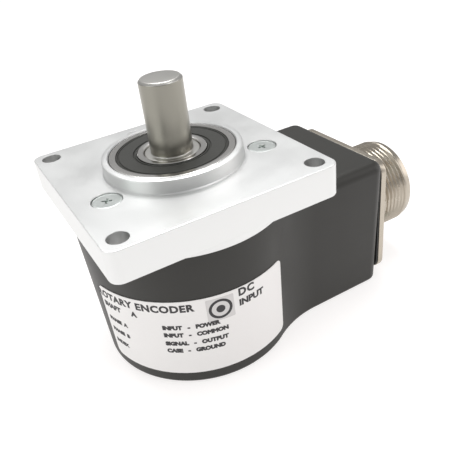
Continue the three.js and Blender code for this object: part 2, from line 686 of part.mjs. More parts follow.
function buildBearing(place, level) {
  const outer = bearingRing(
    BEARING_SEAT_RADIUS,
    OUTER_LAND_RADIUS,
    SEAL_OUTER_RADIUS,
    PITCH_RADIUS + BALL_RADIUS + RACE_GAP,
  );
  const inner = bearingRing(
    BEARING_BORE / 2,
    INNER_LAND_RADIUS,
    SEAL_INNER_RADIUS,
    PITCH_RADIUS - BALL_RADIUS - RACE_GAP,
  );
  const sealTop = BEARING_WIDTH / 2 - SEAL_SETBACK;
  const seal = ring(
    SEAL_INNER_RADIUS + SEAL_LIP_GAP,
    SEAL_OUTER_RADIUS - RUNNING_GAP,
    sealTop - SEAL_THICKNESS,
    sealTop,
  );
  add(`${place}_bearing_outer_ring`, outer, BEARING_STEEL).position.z = level;
  add(`${place}_bearing_inner_ring`, inner, BEARING_STEEL).position.z = level;
  add(`${place}_bearing_ball_cage`, ballCage(), BEARING_STEEL).position.z = level;
  add(`${place}_bearing_front_seal`, seal, SEAL_RUBBER).position.z = level;
  const backSeal = add(`${place}_bearing_back_seal`, seal.clone(), SEAL_RUBBER);
  backSeal.position.z = level - 2 * sealTop + SEAL_THICKNESS;
}

/** Open ring with a gap on one side, so that it can be sprung into its groove. */
function circlip(inner, outer, bottom, top) {
  const gap = block(2 * outer, (outer - inner) * CIRCLIP_OPENING, 4 * (top - bottom), outer, 0, bottom);
  return cut(ring(inner, outer, bottom, top), gap);
}

function buildBearings() {
  buildBearing('front', FRONT_BEARING_LEVEL);
  buildBearing('rear', REAR_BEARING_LEVEL);
  const washer = ring(
    SEAL_OUTER_RADIUS,
    BEARING_SEAT_RADIUS,
    REAR_BEARING_REAR - WAVE_WASHER_THICKNESS,
    REAR_BEARING_REAR,
  );
  add('wave_washer', washer, SPRING_STEEL);
  const clipOuter = BEARING_SEAT_RADIUS + CIRCLIP_DEPTH - RUNNING_GAP;
  const hubClip = circlip(SEAL_OUTER_RADIUS - CIRCLIP_DEPTH, clipOuter, CIRCLIP_BOTTOM, CIRCLIP_TOP);
  add('bearing_retaining_ring', hubClip, SPRING_STEEL);
}

// ---------------------------------------------------------------- shaft and code disc

const SHAFT_CLIP_FLOOR = BEARING_BORE / 2 - SHAFT_CLIP_GROOVE;
const SHAFT_CLIP_OUTER = BEARING_BORE / 2 + CIRCLIP_DEPTH;

function buildShaft() {
  const journal = SHAFT_DIAMETER / 2;
  const seat = BEARING_BORE / 2 - RUNNING_GAP;
  const spindle = SPINDLE_DIAMETER / 2;
  const clipBottom = REAR_BEARING_REAR - CIRCLIP_THICKNESS;
  const shaft = turned([
    [0, SHAFT_TIP],
    [journal - SHAFT_CHAMFER, SHAFT_TIP],
    [journal, SHAFT_TIP - SHAFT_CHAMFER],
    [journal, SHOULDER_LEVEL],
    [seat, SHOULDER_LEVEL],
    [seat, FRONT_BEARING_REAR],
    [COLLAR_DIAMETER / 2, FRONT_BEARING_REAR],
    [COLLAR_DIAMETER / 2, REAR_BEARING_FRONT],
    [seat, REAR_BEARING_FRONT],
    [seat, REAR_BEARING_REAR],
    [SHAFT_CLIP_FLOOR, REAR_BEARING_REAR],
    [SHAFT_CLIP_FLOOR, clipBottom],
    [seat, clipBottom],
    [seat, SEAT_BOTTOM],
    [spindle, SEAT_BOTTOM],
    [spindle, DISC_BOTTOM],
    [0, DISC_BOTTOM],
  ]);
  add('shaft', shaft, SHAFT_STEEL);
  const clip = circlip(SHAFT_CLIP_FLOOR + RUNNING_GAP, SHAFT_CLIP_OUTER, clipBottom, REAR_BEARING_REAR);
  add('shaft_retaining_ring', clip, SPRING_STEEL);
}

function buildCodeDisc() {
  const bore = SPINDLE_DIAMETER / 2 + RUNNING_GAP;
  const collar = DISC_HUB_COLLAR / 2;
  const pilot = DISC_BORE / 2 - RUNNING_GAP;
  const collarBottom = DISC_TOP + DISC_HUB_FLANGE_THICKNESS;
  const screwLevel = (DISC_HUB_TOP + collarBottom) / 2;
  const hub = turned([
    [bore, DISC_HUB_TOP],
    [collar, DISC_HUB_TOP],
    [collar, collarBottom],
    [DISC_HUB_FLANGE / 2, collarBottom],
    [DISC_HUB_FLANGE / 2, DISC_TOP],
    [pilot, DISC_TOP],
    [pilot, DISC_BOTTOM],
    [bore, DISC_BOTTOM],
  ]);
  const along = (radius, from, to) => rod(radius, from, to)
    .rotateY(Math.PI / 2)
    .translate(0, 0, screwLevel);
  const screwHole = along(SET_SCREW_DIAMETER / 2 + SCREW_PLAY, 0, collar + OVERCUT);
  add('code_disc_hub', cut(hub, screwHole), BRASS);
  const setScrew = along(SET_SCREW_DIAMETER / 2, bore, collar - SET_SCREW_SINK);
  add('hub_set_screw', setScrew, ZINC_STEEL);
  const disc = ring(DISC_BORE / 2, DISC_DIAMETER / 2, DISC_BOTTOM, DISC_TOP, DISC_SEGMENTS);
  add('code_disc', disc, CLEAR_GLASS);
}

// ---------------------------------------------------------------- board and read head

function hexagonBar(acrossFlats, bottom, top) {
  return rod(acrossFlats / Math.sqrt(3), bottom, top, 6);
}

function panScrew(diameter, length, head, headHeight) {
  const body = turned([
    [0, -length],
    [diameter / 2, -length],
    [diameter / 2, 0],
    [head / 2, 0],
    [head / 2, headHeight * PAN_EDGE_SHARE],
    [(head / 2) * PAN_CROWN_SHARE, headHeight],
    [0, headHeight],
  ], SMALL_SEGMENTS);
  const recess = crossRecess(head / 2, headHeight * PAN_RECESS_SHARE);
  return cut(body, ...recess.map((slot) => slot.translate(0, 0, headHeight)));
}

function buildBoard() {
  const below = BOARD_HEIGHT - OVERCUT;
  const above = BOARD_TOP + OVERCUT;
  const screwRadius = BOARD_SCREW_DIAMETER / 2 + SCREW_PLAY;
  const screwHole = rod(screwRadius, below, above);
  const notch = rod(COLUMN_DIAMETER / 2 + BOARD_GAP / 2, below, above, NOTCH_SEGMENTS);
  const board = cut(
    rod(BOARD_RADIUS, BOARD_HEIGHT, BOARD_TOP, BOARD_SEGMENTS),
    ...copies(screwHole, standoffPoints),
    ...copies(notch, screwPoints),
  );
  add('signal_board', board, BOARD_GREEN);

  const bar = hexagonBar(STANDOFF_ACROSS_FLATS, BOARD_TOP, REGISTER_BOTTOM);
  const stud = rod(STUD_DIAMETER / 2, REGISTER_BOTTOM - OVERCUT, REGISTER_BOTTOM + STUD_LENGTH);
  const hole = rod(screwRadius, BOARD_TOP - OVERCUT, BOARD_TOP + BOARD_SCREW_LENGTH);
  const standoff = cut(join(bar, stud), hole);
  const screw = panScrew(
    BOARD_SCREW_DIAMETER,
    BOARD_SCREW_LENGTH,
    BOARD_SCREW_HEAD,
    BOARD_SCREW_HEAD_HEIGHT,
  );
  standoffPoints.forEach((point, i) => {
    add(`board_standoff_${i + 1}`, standoff.clone(), BRASS).position.copy(point);
    const fastener = add(`board_screw_${i + 1}`, screw.clone(), ZINC_STEEL);
    fastener.position.set(point.x, point.y, BOARD_HEIGHT);
    fastener.rotation.x = Math.PI;
  });
}

function buildReadHead() {
  const middle = -(HEAD_INNER + HEAD_OUTER) / 2;
  const depth = HEAD_OUTER - HEAD_INNER;
  const slotBottom = RETICLE_BOTTOM;
  const slotTop = DISC_TOP + AIR_GAP;
  const slotDepth = HEAD_THROAT - HEAD_INNER + OVERCUT;
  const slotMiddle = slotDepth / 2 - HEAD_THROAT;
  const slotHeight = slotTop - slotBottom;
  const pocketHeight = slotBottom - BOARD_TOP + 2 * OVERCUT;
  const pocketLevel = (slotBottom + BOARD_TOP) / 2;
  const pocketPlay = 2 * DETECTOR_CLEARANCE;
  const [chipWidth, chipDepth, chipHeight] = DETECTOR_SIZE;
  const body = cut(
    block(HEAD_WIDTH, depth, HEAD_TOP - BOARD_TOP, 0, middle, (HEAD_TOP + BOARD_TOP) / 2),
    block(HEAD_WIDTH + 2 * OVERCUT, slotDepth, slotHeight, 0, slotMiddle, (slotTop + slotBottom) / 2),
    block(chipWidth + pocketPlay, chipDepth + pocketPlay, pocketHeight, 0, -TRACK_RADIUS, pocketLevel),
    rod(EMITTER_DIAMETER / 2 + SCREW_PLAY, slotTop - OVERCUT, HEAD_TOP + OVERCUT)
      .translate(0, -TRACK_RADIUS, 0),
  );
  add('read_head_body', body, BLACK_PLASTIC);
  const emitter = rod(EMITTER_DIAMETER / 2, slotTop + EMITTER_SETBACK, HEAD_TOP)
    .translate(0, -TRACK_RADIUS, 0);
  add('emitter_led', emitter, CLEAR_GLASS);
  const reticle = block(
    HEAD_WIDTH - 2 * RETICLE_MARGIN,
    HEAD_REACH - 2 * RETICLE_MARGIN,
    RETICLE_THICKNESS,
    0,
    -TRACK_RADIUS,
    (RETICLE_TOP + RETICLE_BOTTOM) / 2,
  );
  add('reticle_plate', reticle, CLEAR_GLASS);
  const detector = block(chipWidth, chipDepth, chipHeight, 0, -TRACK_RADIUS, BOARD_TOP + chipHeight / 2);
  add('detector_chip', detector, BLACK_PLASTIC);
}

/** A flat package on the board's underside. */
function buildPackage(name, [width, depth, height], [x, y]) {
  add(name, block(width, depth, height, x, y, BOARD_HEIGHT - height / 2), BLACK_PLASTIC);
}

function buildChips() {
  buildPackage('signal_processor', SIGNAL_PROCESSOR_SIZE, SIGNAL_PROCESSOR_PLACE);
  buildPackage('line_driver', LINE_DRIVER_SIZE, LINE_DRIVER_PLACE);
  buildPackage('wire_header', HEADER_SIZE, [HEADER_START + HEADER_SIZE[0] / 2, WIRE_ROW_CENTRE]);
}

// ---------------------------------------------------------------- connector

/** Pin places in the insert's plane: one in the middle and six round it, from one side to the other. */
function pinPlaces() {
  const radius = PIN_CIRCLE / 2;
  const round = [180, 120, 240, 60, 300, 0].map((degrees) => polar(radius, degrees));
  return [...round.slice(0, 3), new THREE.Vector3(), ...round.slice(3)];
}

/** Moves a point of the insert's plane to the connector's place, at the given reach along X. */
function onConnector(place, reach) {
  return new THREE.Vector3(reach, place.x, CONNECTOR_HEIGHT + place.y);
}

function shellBarrel() {
  const bore = SHELL_BORE / 2;
  const outer = SHELL_DIAMETER / 2;
  const ringRadius = bore + INSERT_RING_DEPTH;
  const undercutEnd = PLATE_FRONT + SHELL_UNDERCUT_LENGTH;
  return turned([
    [bore, INSERT_BACK],
    [SHELL_SKIRT / 2, INSERT_BACK],
    [SHELL_SKIRT / 2, PLATE_BACK + PLATE_THICKNESS / 2],
    [outer - SHELL_UNDERCUT, PLATE_BACK + PLATE_THICKNESS / 2],
    [outer - SHELL_UNDERCUT, undercutEnd],
    [outer, undercutEnd + SHELL_UNDERCUT],
    [outer, MOUTH - SHELL_LIP - SHELL_LIP_STEP],
    [outer - SHELL_LIP_STEP, MOUTH - SHELL_LIP],
    [outer - SHELL_LIP_STEP, MOUTH],
    [bore, MOUTH],
    [bore, INSERT_FRONT + INSERT_RING_WIDTH],
    [ringRadius, INSERT_FRONT + INSERT_RING_WIDTH],
    [ringRadius, INSERT_FRONT],
    [bore, INSERT_FRONT],
  ]);
}

function squareSheet(side, cornerRadius, holeRadius, bottom, thickness) {
  const shape = roundedSquare(side, cornerRadius);
  shape.holes.push(roundHole(holeRadius));
  return new THREE.ExtrudeGeometry(shape, { depth: thickness, bevelEnabled: false })
    .translate(0, 0, bottom);
}

function buildShell() {
  const corners = squarePattern(PLATE_HOLE_SPACING);
  const screwRadius = CONNECTOR_SCREW_DIAMETER / 2 + SCREW_PLAY;
  const holes = (bottom, top) => copies(rod(screwRadius, bottom - OVERCUT, top + OVERCUT), corners);
  const gasketSheet = squareSheet(
    PLATE_SIDE - 2 * GASKET_INSET,
    PLATE_CORNER_RADIUS,
    SHELL_SKIRT / 2 + GASKET_CLEARANCE,
    BOX_REACH,
    GASKET_THICKNESS,
  );
  const gasket = cut(gasketSheet, ...holes(BOX_REACH, PLATE_BACK));
  add('connector_gasket', alongConnector(gasket), GASKET_RUBBER);
  const plate = squareSheet(
    PLATE_SIDE,
    PLATE_CORNER_RADIUS,
    (SHELL_SKIRT + SHELL_BORE) / 4,
    PLATE_BACK,
    PLATE_THICKNESS,
  );
  const shell = cut(join(plate, shellBarrel()), ...holes(PLATE_BACK, PLATE_FRONT));
  add('connector_shell', alongConnector(shell), NICKEL);
}

function buildInsert() {
  const hole = rod(
    PIN_SHANK_DIAMETER / 2 + RUNNING_GAP,
    INSERT_BACK - OVERCUT,
    INSERT_FRONT + OVERCUT,
    PIN_SEGMENTS,
  );
  const places = pinPlaces().map((place) => new THREE.Vector3(-place.y, place.x, 0));
  const blank = rod(SHELL_BORE / 2 - RUNNING_GAP, INSERT_BACK, INSERT_FRONT, ROUND_SEGMENTS);
  const insert = cut(blank, ...copies(hole, places));
  add('connector_insert', alongConnector(insert), INSERT_PLASTIC);
  const clip = ring(
    SHELL_BORE / 2 - INSERT_RING_STAND,
    SHELL_BORE / 2 + INSERT_RING_DEPTH - RUNNING_GAP,
    INSERT_FRONT,
    INSERT_FRONT + INSERT_RING_WIDTH,
  );
  add('insert_retaining_ring', alongConnector(clip), SPRING_STEEL);
}

function contactPin() {
  const pin = PIN_DIAMETER / 2;
  const shank = PIN_SHANK_DIAMETER / 2;
  return turned([
    [0, PIN_END],
    [shank, PIN_END],
    [shank, INSERT_FRONT],
    [pin, INSERT_FRONT],
    [pin, PIN_TIP - pin],
    [pin * PIN_TIP_SHARE, PIN_TIP],
    [0, PIN_TIP],
  ], PIN_SEGMENTS);
}

function buildPins() {
  const pin = contactPin().rotateY(Math.PI / 2);
  pinPlaces().forEach((place, i) => {
    add(`contact_pin_${PIN_NAMES[i]}`, pin.clone(), GOLD).position.copy(onConnector(place, 0));
  });
}

function buildConnectorScrews() {
  const screw = panScrew(
    CONNECTOR_SCREW_DIAMETER,
    CONNECTOR_SCREW_LENGTH,
    CONNECTOR_SCREW_HEAD,
    CONNECTOR_SCREW_HEAD_HEIGHT,
  ).rotateY(Math.PI / 2);
  squarePattern(PLATE_HOLE_SPACING).forEach((corner, i) => {
    const fastener = add(`connector_screw_${i + 1}`, screw.clone(), ZINC_STEEL);
    fastener.position.copy(onConnector(corner, PLATE_FRONT));
  });
}

function buildWires() {
  const section = new THREE.Shape().absarc(0, 0, WIRE_DIAMETER / 2, 0, 2 * Math.PI);
  const start = HEADER_START + HEADER_SIZE[0] + WIRE_END_GAP;
  const end = PIN_END - WIRE_END_GAP;
  const level = BOARD_HEIGHT - HEADER_SIZE[2] / 2;
  pinPlaces().forEach((place, i) => {
    const y = WIRE_ROW_CENTRE + (i - (PIN_NAMES.length - 1) / 2) * WIRE_PITCH;
    const route = new THREE.CatmullRomCurve3([
      new THREE.Vector3(start, y, level),
      new THREE.Vector3(start + WIRE_STRAIGHT, y, level),
      onConnector(place, end - WIRE_STRAIGHT),
      onConnector(place, end),
    ]);
    const wire = new THREE.ExtrudeGeometry(section, {
      steps: WIRE_STEPS,
      curveSegments: WIRE_SECTION_STEPS,
      extrudePath: route,
    });
    add(`harness_wire_${PIN_NAMES[i]}`, wire, plastic(WIRE_COLOURS[i], 0.6));
  });
}

// ---------------------------------------------------------------- label

/** Radius of the cover's round wall at a height. */
function coverRadiusAt(z) {
  return COVER_RADIUS - COVER_DRAFT * (COVER_TOP - z);
}

function labelSection(z) {
  const inner = coverRadiusAt(z) + LABEL_GAP;
  const outer = inner + LABEL_THICKNESS;
  const [from, to] = LABEL_ANGLES;
  const arc = (radius) => Array.from(
    { length: LABEL_STEPS + 1 },
    (_, i) => polar(radius, from + ((to - from) * i) / LABEL_STEPS, z),
  );
  return [...arc(outer), ...arc(inner).reverse()];
}

function buildLabel() {
  const sections = [labelSection(LABEL_BOTTOM), labelSection(LABEL_BOTTOM + LABEL_HEIGHT)];
  add('identification_label', new LoftGeometry(sections, { capStart: true, capEnd: true }), LABEL_VINYL);
}

// ---------------------------------------------------------------- assembly

buildFlange();
buildFlangeScrews();
buildCover();
buildBearings();
buildShaft();
buildCodeDisc();
buildBoard();
buildReadHead();
buildChips();
buildShell();
buildInsert();
buildPins();
buildConnectorScrews();
buildWires();
buildLabel();

export default encoder;
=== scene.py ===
"""Shaft encoder with a square flange, a round black cover and a threaded side connector.

Lengths in the classes are in millimetres and MM turns them into metres. Z runs along the
shaft and X towards the connector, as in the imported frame.
"""

from __future__ import annotations

import logging
import math
from contextlib import contextmanager
from dataclasses import dataclass, field
from enum import Enum
from itertools import pairwise
from typing import Callable, Iterator, Sequence

import bmesh
import bpy
from mathutils import Matrix, Vector

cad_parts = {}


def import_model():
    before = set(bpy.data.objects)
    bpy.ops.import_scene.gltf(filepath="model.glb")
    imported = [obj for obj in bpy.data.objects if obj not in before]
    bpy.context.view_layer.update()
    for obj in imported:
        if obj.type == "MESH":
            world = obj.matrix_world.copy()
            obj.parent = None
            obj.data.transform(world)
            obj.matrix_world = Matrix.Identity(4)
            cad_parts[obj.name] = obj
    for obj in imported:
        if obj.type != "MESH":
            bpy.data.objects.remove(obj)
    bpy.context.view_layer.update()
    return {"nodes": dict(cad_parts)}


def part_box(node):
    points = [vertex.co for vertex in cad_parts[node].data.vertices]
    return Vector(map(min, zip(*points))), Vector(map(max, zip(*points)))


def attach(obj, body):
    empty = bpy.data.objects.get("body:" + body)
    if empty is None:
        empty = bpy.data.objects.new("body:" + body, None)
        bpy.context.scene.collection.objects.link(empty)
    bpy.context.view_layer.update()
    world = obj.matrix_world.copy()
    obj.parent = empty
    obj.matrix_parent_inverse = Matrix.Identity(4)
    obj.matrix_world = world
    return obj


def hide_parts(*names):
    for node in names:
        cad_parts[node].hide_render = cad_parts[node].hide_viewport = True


MM = 0.001
FULL_TURN = 2 * math.pi
FINE_SEGMENTS = 144
OPENING_SEGMENTS = 96
SMALL_SEGMENTS = 40
PIN_SEGMENTS = 32
WELD = 1e-6
PINHOLE_SIDES = 6
SMOOTH_DEGREES = 32
BODY = "encoder_body"
ROTOR = "rotor"

BROAD_SHARE = 0.6  # of the colour's mottle that follows the broad patches
WEAR_SPREAD = 0.35  # how far the roughness strays, of its own value
FINE_WEAR = 0.6  # fine marks' part of that, against the broad patches

log = logging.getLogger("encoder")

Point = tuple[float, float]
Place = tuple[float, float, float]
Colour = tuple[float, float, float]


# ---------------------------------------------------------------- shader expressions


class Flow:
    """A number carried by a node socket, with the usual operators."""

    def __init__(self, tree: bpy.types.NodeTree, socket: bpy.types.NodeSocket) -> None:
        """Wrap a socket of a tree."""
        self.tree = tree
        self.socket = socket

    def _math(self, operation: str, *values: Flow | float) -> Flow:
        """Add one Math node.

        Args:
            operation: the Math node's operation.
            values: its inputs in order.

        Returns:
            The node's result.
        """
        node = self.tree.nodes.new("ShaderNodeMath")
        node.operation = operation
        for slot, value in zip(node.inputs, values):
            if isinstance(value, Flow):
                self.tree.links.new(value.socket, slot)
            else:
                slot.default_value = value
        return Flow(self.tree, node.outputs[0])

    def __add__(self, other: Flow | float) -> Flow:
        """Sum."""
        return self._math("ADD", self, other)

    __radd__ = __add__

    def __sub__(self, other: Flow | float) -> Flow:
        """Difference."""
        return self._math("SUBTRACT", self, other)

    def __mul__(self, other: Flow | float) -> Flow:
        """Product."""
        return self._math("MULTIPLY", self, other)

    __rmul__ = __mul__

    def __truediv__(self, other: Flow | float) -> Flow:
        """Quotient."""
        return self._math("DIVIDE", self, other)

    def __pow__(self, power: float) -> Flow:
        """Power."""
        return self._math("POWER", self, power)

    def __gt__(self, limit: Flow | float) -> Flow:
        """1 where the number is above the limit."""
        return self._math("GREATER_THAN", self, limit)

    def __lt__(self, limit: Flow | float) -> Flow:
        """1 where the number is below the limit."""
        return self._math("LESS_THAN", self, limit)

    def fraction(self) -> Flow:
        """Part after the decimal point."""
        return self._math("FRACT", self)

    def angle_to(self, other: Flow) -> Flow:
        """Angle of the point (other, self) about the origin."""
        return self._math("ARCTAN2", self, other)


class Shader:
    """One material with a Principled surface and the patterns that feed it."""

    def __init__(self, name: str) -> None:
        """Start an empty material of that name."""
        material = bpy.data.materials.new(name)
        material.use_nodes = True
        tree = material.node_tree
        tree.nodes.clear()
        surface = tree.nodes.new("ShaderNodeBsdfPrincipled")
        output = tree.nodes.new("ShaderNodeOutputMaterial")
        tree.links.new(surface.outputs[0], output.inputs["Surface"])
        self.hold(material, surface)

    @classmethod
    def around(cls, material: bpy.types.Material) -> Shader:
        """A shader that carries on with a finished material."""
        shader = cls.__new__(cls)
        nodes = material.node_tree.nodes
        surface = next(node for node in nodes if node.bl_idname == "ShaderNodeBsdfPrincipled")
        shader.hold(material, surface)
        return shader

    def hold(self, material: bpy.types.Material, surface: bpy.types.Node) -> None:
        """Keep a material and its surface, and read the place on the object."""
        self.material = material
        self.tree = material.node_tree
        self.surface = surface
        place = self.tree.nodes.new("ShaderNodeTexCoord").outputs["Object"]
        self.place = place
        split = self.tree.nodes.new("ShaderNodeSeparateXYZ")
        self.tree.links.new(place, split.inputs[0])
        self.x, self.y, self.z = (Flow(self.tree, out) for out in split.outputs)

    def node(self, kind: str, inputs: dict[str, object]) -> bpy.types.Node:
        """Add one node.

        Args:
            kind: the node's type.
            inputs: socket names with values, sockets or flows.

        Returns:
            The node.
        """
        node = self.tree.nodes.new(kind)
        for name, value in inputs.items():
            self.feed(node.inputs[name], value)
        return node

    def feed(self, socket: bpy.types.NodeSocket, value: object) -> None:
        """Link or set one input socket."""
        if isinstance(value, Flow):
            self.tree.links.new(value.socket, socket)
        elif isinstance(value, bpy.types.NodeSocket):
            self.tree.links.new(value, socket)
        else:
            socket.default_value = value

    def vector(self, x: Flow | float, y: Flow | float, z: Flow | float) -> bpy.types.NodeSocket:
        """Join three numbers to a vector."""
        return self.node("ShaderNodeCombineXYZ", {"X": x, "Y": y, "Z": z}).outputs[0]

    def noise(self, scale: float, detail: float = 2.0, at: object = None) -> Flow:
        """Noise from 0 to 1.

        Args:
            scale: features per metre.
            detail: octaves.
            at: the vector it is read at, or None for the place on the object.

        Returns:
            The noise.
        """
        vector = self.place if at is None else at
        inputs = {"Vector": vector, "Scale": scale, "Detail": detail}
        node = self.node("ShaderNodeTexNoise", inputs)
        return Flow(self.tree, node.outputs[0])

    def blend(
        self, share: Flow, first: Colour | bpy.types.NodeSocket, second: Colour
    ) -> bpy.types.NodeSocket:
        """Mix two colours by a share from 0 to 1, the first of them plain or from a socket."""
        node = self.tree.nodes.new("ShaderNodeMix")
        node.data_type = "RGBA"
        colours = [socket for socket in node.inputs if socket.type == "RGBA"]
        self.feed(node.inputs[0], share)
        for slot, colour in zip(colours, (first, second)):
            self.feed(slot, (*colour, 1) if isinstance(colour, tuple) else colour)
        return next(socket for socket in node.outputs if socket.type == "RGBA")

    def radius(self) -> Flow:
        """Distance from the shaft's axis."""
        return (self.x * self.x + self.y * self.y) ** 0.5

    def bump(self, height: Flow, depth: float) -> None:
        """Raise the surface by a height from 0 to 1 times a depth in metres."""
        inputs = {"Strength": 1.0, "Distance": depth, "Height": height}
        node = self.node("ShaderNodeBump", inputs)
        self.tree.links.new(node.outputs[0], self.surface.inputs["Normal"])


class Grain(Enum):
    """How the fine marks of a finish run."""

    TURNED = "rings about the shaft"
    BARREL = "rings about the connector"
    FINE = "even in all directions"


@dataclass(frozen=True)
class Finish:
    """A surface finish with its colour, gloss and fine marks."""

    name: str
    colour: Colour
    roughness: float
    metallic: float = 0.0
    grain: Grain = Grain.FINE
    pitch: float = 0.12
    depth: float = 0.002
    mottle: float = 0.06
    patch: float = 4.0
    coat: float = 0.0
    specular: float = 0.5

    def build(self) -> bpy.types.Material:
        """Make the material."""
        shader = Shader(self.name)
        surface = shader.surface.inputs
        surface["Metallic"].default_value = self.metallic
        surface["Coat Weight"].default_value = self.coat
        surface["Specular IOR Level"].default_value = self.specular
        broad = shader.noise(1 / (self.patch * MM), 3.0)
        fine = self.marks(shader)
        darker = tuple(channel * (1 - self.mottle) for channel in self.colour)
        lighter = tuple(min(1.0, channel * (1 + self.mottle)) for channel in self.colour)
        tone = broad * BROAD_SHARE + fine * (1 - BROAD_SHARE)
        shader.feed(surface["Base Color"], shader.blend(tone, darker, lighter))
        spread = self.roughness * WEAR_SPREAD
        wear = (broad - 0.5) * spread + (fine - 0.5) * spread * FINE_WEAR
        shader.feed(surface["Roughness"], wear + self.roughness)
        shader.bump(fine, self.depth * MM)
        return shader.material

    def marks(self, shader: Shader) -> Flow:
        """Fine marks of the finish, from 0 to 1."""
        scale = 1 / (self.pitch * MM)
        if self.grain is Grain.TURNED:
            slow = shader.y.angle_to(shader.x) * (2 * MM)
            return shader.noise(scale, 2.0, shader.vector(shader.radius(), shader.z, slow))
        if self.grain is Grain.BARREL:
            stretch = 0.05
            rings = shader.vector(shader.x, shader.y * stretch, shader.z * stretch)
            return shader.noise(scale, 2.0, rings)
        return shader.noise(scale, 3.0)


@dataclass(frozen=True)
class ShaftFinishWithPaintedTip(Finish):
    """Shaft steel, paler on the ground shoulder and seats, and paler on the tip's top face and
    chamfer as a painted highlight.
    """

    ground_and_highlight: Colour = (0.60, 0.59, 0.56)
    ground_top: float = 48.62
    painted_highlight_from: float = 64.42

    def build(self) -> bpy.types.Material:
        """Make the material."""
        material = super().build()
        shader = Shader.around(material)
        plain = shader.surface.inputs["Base Color"].links[0].from_socket
        # Paler below the shoulder's top as ground steel, and paler on the tip's top face and
        # chamfer as a painted highlight
        share = (shader.z < self.ground_top * MM) + (shader.z > self.painted_highlight_from * MM)
        shader.feed(shader.surface.inputs["Base Color"], shader.blend(share, plain, self.ground_and_highlight))
        return material


@dataclass(frozen=True)
class BoardFinish:
    """Green solder mask over copper tracks."""

    name: str = "solder_mask"
    mask: Colour = (0.02, 0.14, 0.065)
    track: Colour = (0.05, 0.25, 0.10)
    pitch: float = 1.27

    def build(self) -> bpy.types.Material:
        """Make the material."""
        shader = Shader(self.name)
        cells = (shader.x / (self.pitch * MM)).fraction()
        bend = shader.noise(1 / (9 * MM), 0.0) * 6
        lines = (shader.y / (self.pitch * MM) + bend).fraction()
        tracks = (lines > 0.6) * (cells > 0.12)
        surface = shader.surface.inputs
        shader.feed(surface["Base Color"], shader.blend(tracks, self.mask, self.track))
        shader.feed(surface["Roughness"], 0.3 + shader.noise(600, 2.0) * 0.15)
        shader.bump(tracks, 0.03 * MM)
        return shader.material


@dataclass(frozen=True)
class DiscFinish:
    """Clear disc with a ring of fine dark lines."""

    name: str = "code_glass"
    lines: int = 360
    inner: float = 12.4
    outer: float = 15.2
    clear: Colour = (0.72, 0.80, 0.79)
    dark: Colour = (0.01, 0.01, 0.01)
    haze: float = 0.45

    def build(self) -> bpy.types.Material:
        """Make the material."""
        shader = Shader(self.name)
        surface = shader.surface.inputs
        radius = shader.radius()
        turn = shader.y.angle_to(shader.x) * (self.lines / FULL_TURN)
        ring = (radius > self.inner * MM) * (radius < self.outer * MM)
        track = (turn.fraction() > 0.5) * ring
        shader.feed(surface["Base Color"], shader.blend(track, self.clear, self.dark))
        shader.feed(surface["Alpha"], self.haze + track * (1 - self.haze))
        shader.feed(surface["Roughness"], 0.06 + shader.noise(900, 1.0) * 0.06)
        return shader.material


# Name, colour, roughness, metallic, grain, and then in millimetres but for the mottle:
# the marks' pitch and depth, the mottle, and the patches' size.
TURNED, BARREL, FINE = Grain.TURNED, Grain.BARREL, Grain.FINE
FLANGE_ALUMINIUM = Finish(
    "flange_aluminium", (0.725, 0.73, 0.725), 0.42, 1.0, TURNED, 0.16, 0.0012, 0.035, 11
)
SHAFT_STEEL = ShaftFinishWithPaintedTip(
    "shaft_steel", (0.285, 0.275, 0.24), 0.31, 1.0, TURNED, 0.09, 0.0012, 0.10, 5
)
RING_STEEL = Finish("bearing_steel", (0.60, 0.59, 0.57), 0.2, 1.0, TURNED, 0.07, 0.0012, 0.06, 5)
SEAL_RUBBER = Finish(
    "seal_rubber", (0.030, 0.030, 0.026), 0.55, 0.0, TURNED, 0.22, 0.004, 0.18, 3, specular=0.4
)
ZINC_PLATE = Finish("screw_zinc", (0.75, 0.785, 0.765), 0.3, 1.0, FINE, 0.5, 0.004, 0.12, 1.6)
COVER_BLACK = Finish(
    "cover_black", (0.022, 0.021, 0.018), 0.45, 0.0, FINE, 0.35, 0.0035, 0.12, 9, specular=0.4
)
NICKEL_PLATE = Finish(
    "connector_nickel", (0.47, 0.425, 0.36), 0.29, 1.0, FINE, 0.6, 0.0006, 0.08, 3
)
SPRING_STEEL = Finish(
    "spring_steel", (0.30, 0.29, 0.275), 0.38, 1.0, TURNED, 0.12, 0.002, 0.12, 3
)
GASKET_RUBBER = Finish(
    "gasket_rubber", (0.028, 0.028, 0.026), 0.6, 0.0, FINE, 0.3, 0.006, 0.15, 3
)
BRASS = Finish("brass", (0.72, 0.52, 0.24), 0.3, 1.0, TURNED, 0.1, 0.002, 0.08, 3)
CONTACT_GOLD = Finish("contact_gold", (0.86, 0.62, 0.26), 0.2, 1.0, BARREL, 0.1, 0.001, 0.05, 2)
INSERT_PLASTIC = Finish(
    "insert_plastic", (0.05, 0.06, 0.055), 0.5, 0.0, FINE, 0.4, 0.006, 0.15, 3
)
BLACK_PLASTIC = Finish("black_plastic", (0.016, 0.016, 0.016), 0.5, 0.0, FINE, 0.3, 0.006, 0.2, 2)
CLEAR_GLASS = Finish("clear_glass", (0.72, 0.80, 0.79), 0.08, 0.0, FINE, 0.5, 0.0005, 0.05, 3)
LABEL_VINYL = Finish("label_vinyl", (0.83, 0.81, 0.80), 0.46, 0.0, FINE, 0.5, 0.003, 0.03, 7)
LABEL_PATCH = Finish("label_patch", (0.64, 0.62, 0.615), 0.5, 0.0, FINE, 0.5, 0.003, 0.03, 7)
LABEL_INK = Finish("label_ink", (0.030, 0.028, 0.030), 0.55, 0.0, FINE, 0.3, 0.001, 0.3, 0.7)
WIRE_COLOURS: dict[str, Colour] = {
    "red": (0.45, 0.03, 0.03),
    "black": (0.02, 0.02, 0.02),
    "white": (0.80, 0.80, 0.76),
    "green": (0.04, 0.30, 0.08),
    "blue": (0.03, 0.11, 0.48),
    "yellow": (0.78, 0.50, 0.02),
    "brown": (0.25, 0.11, 0.04),
}


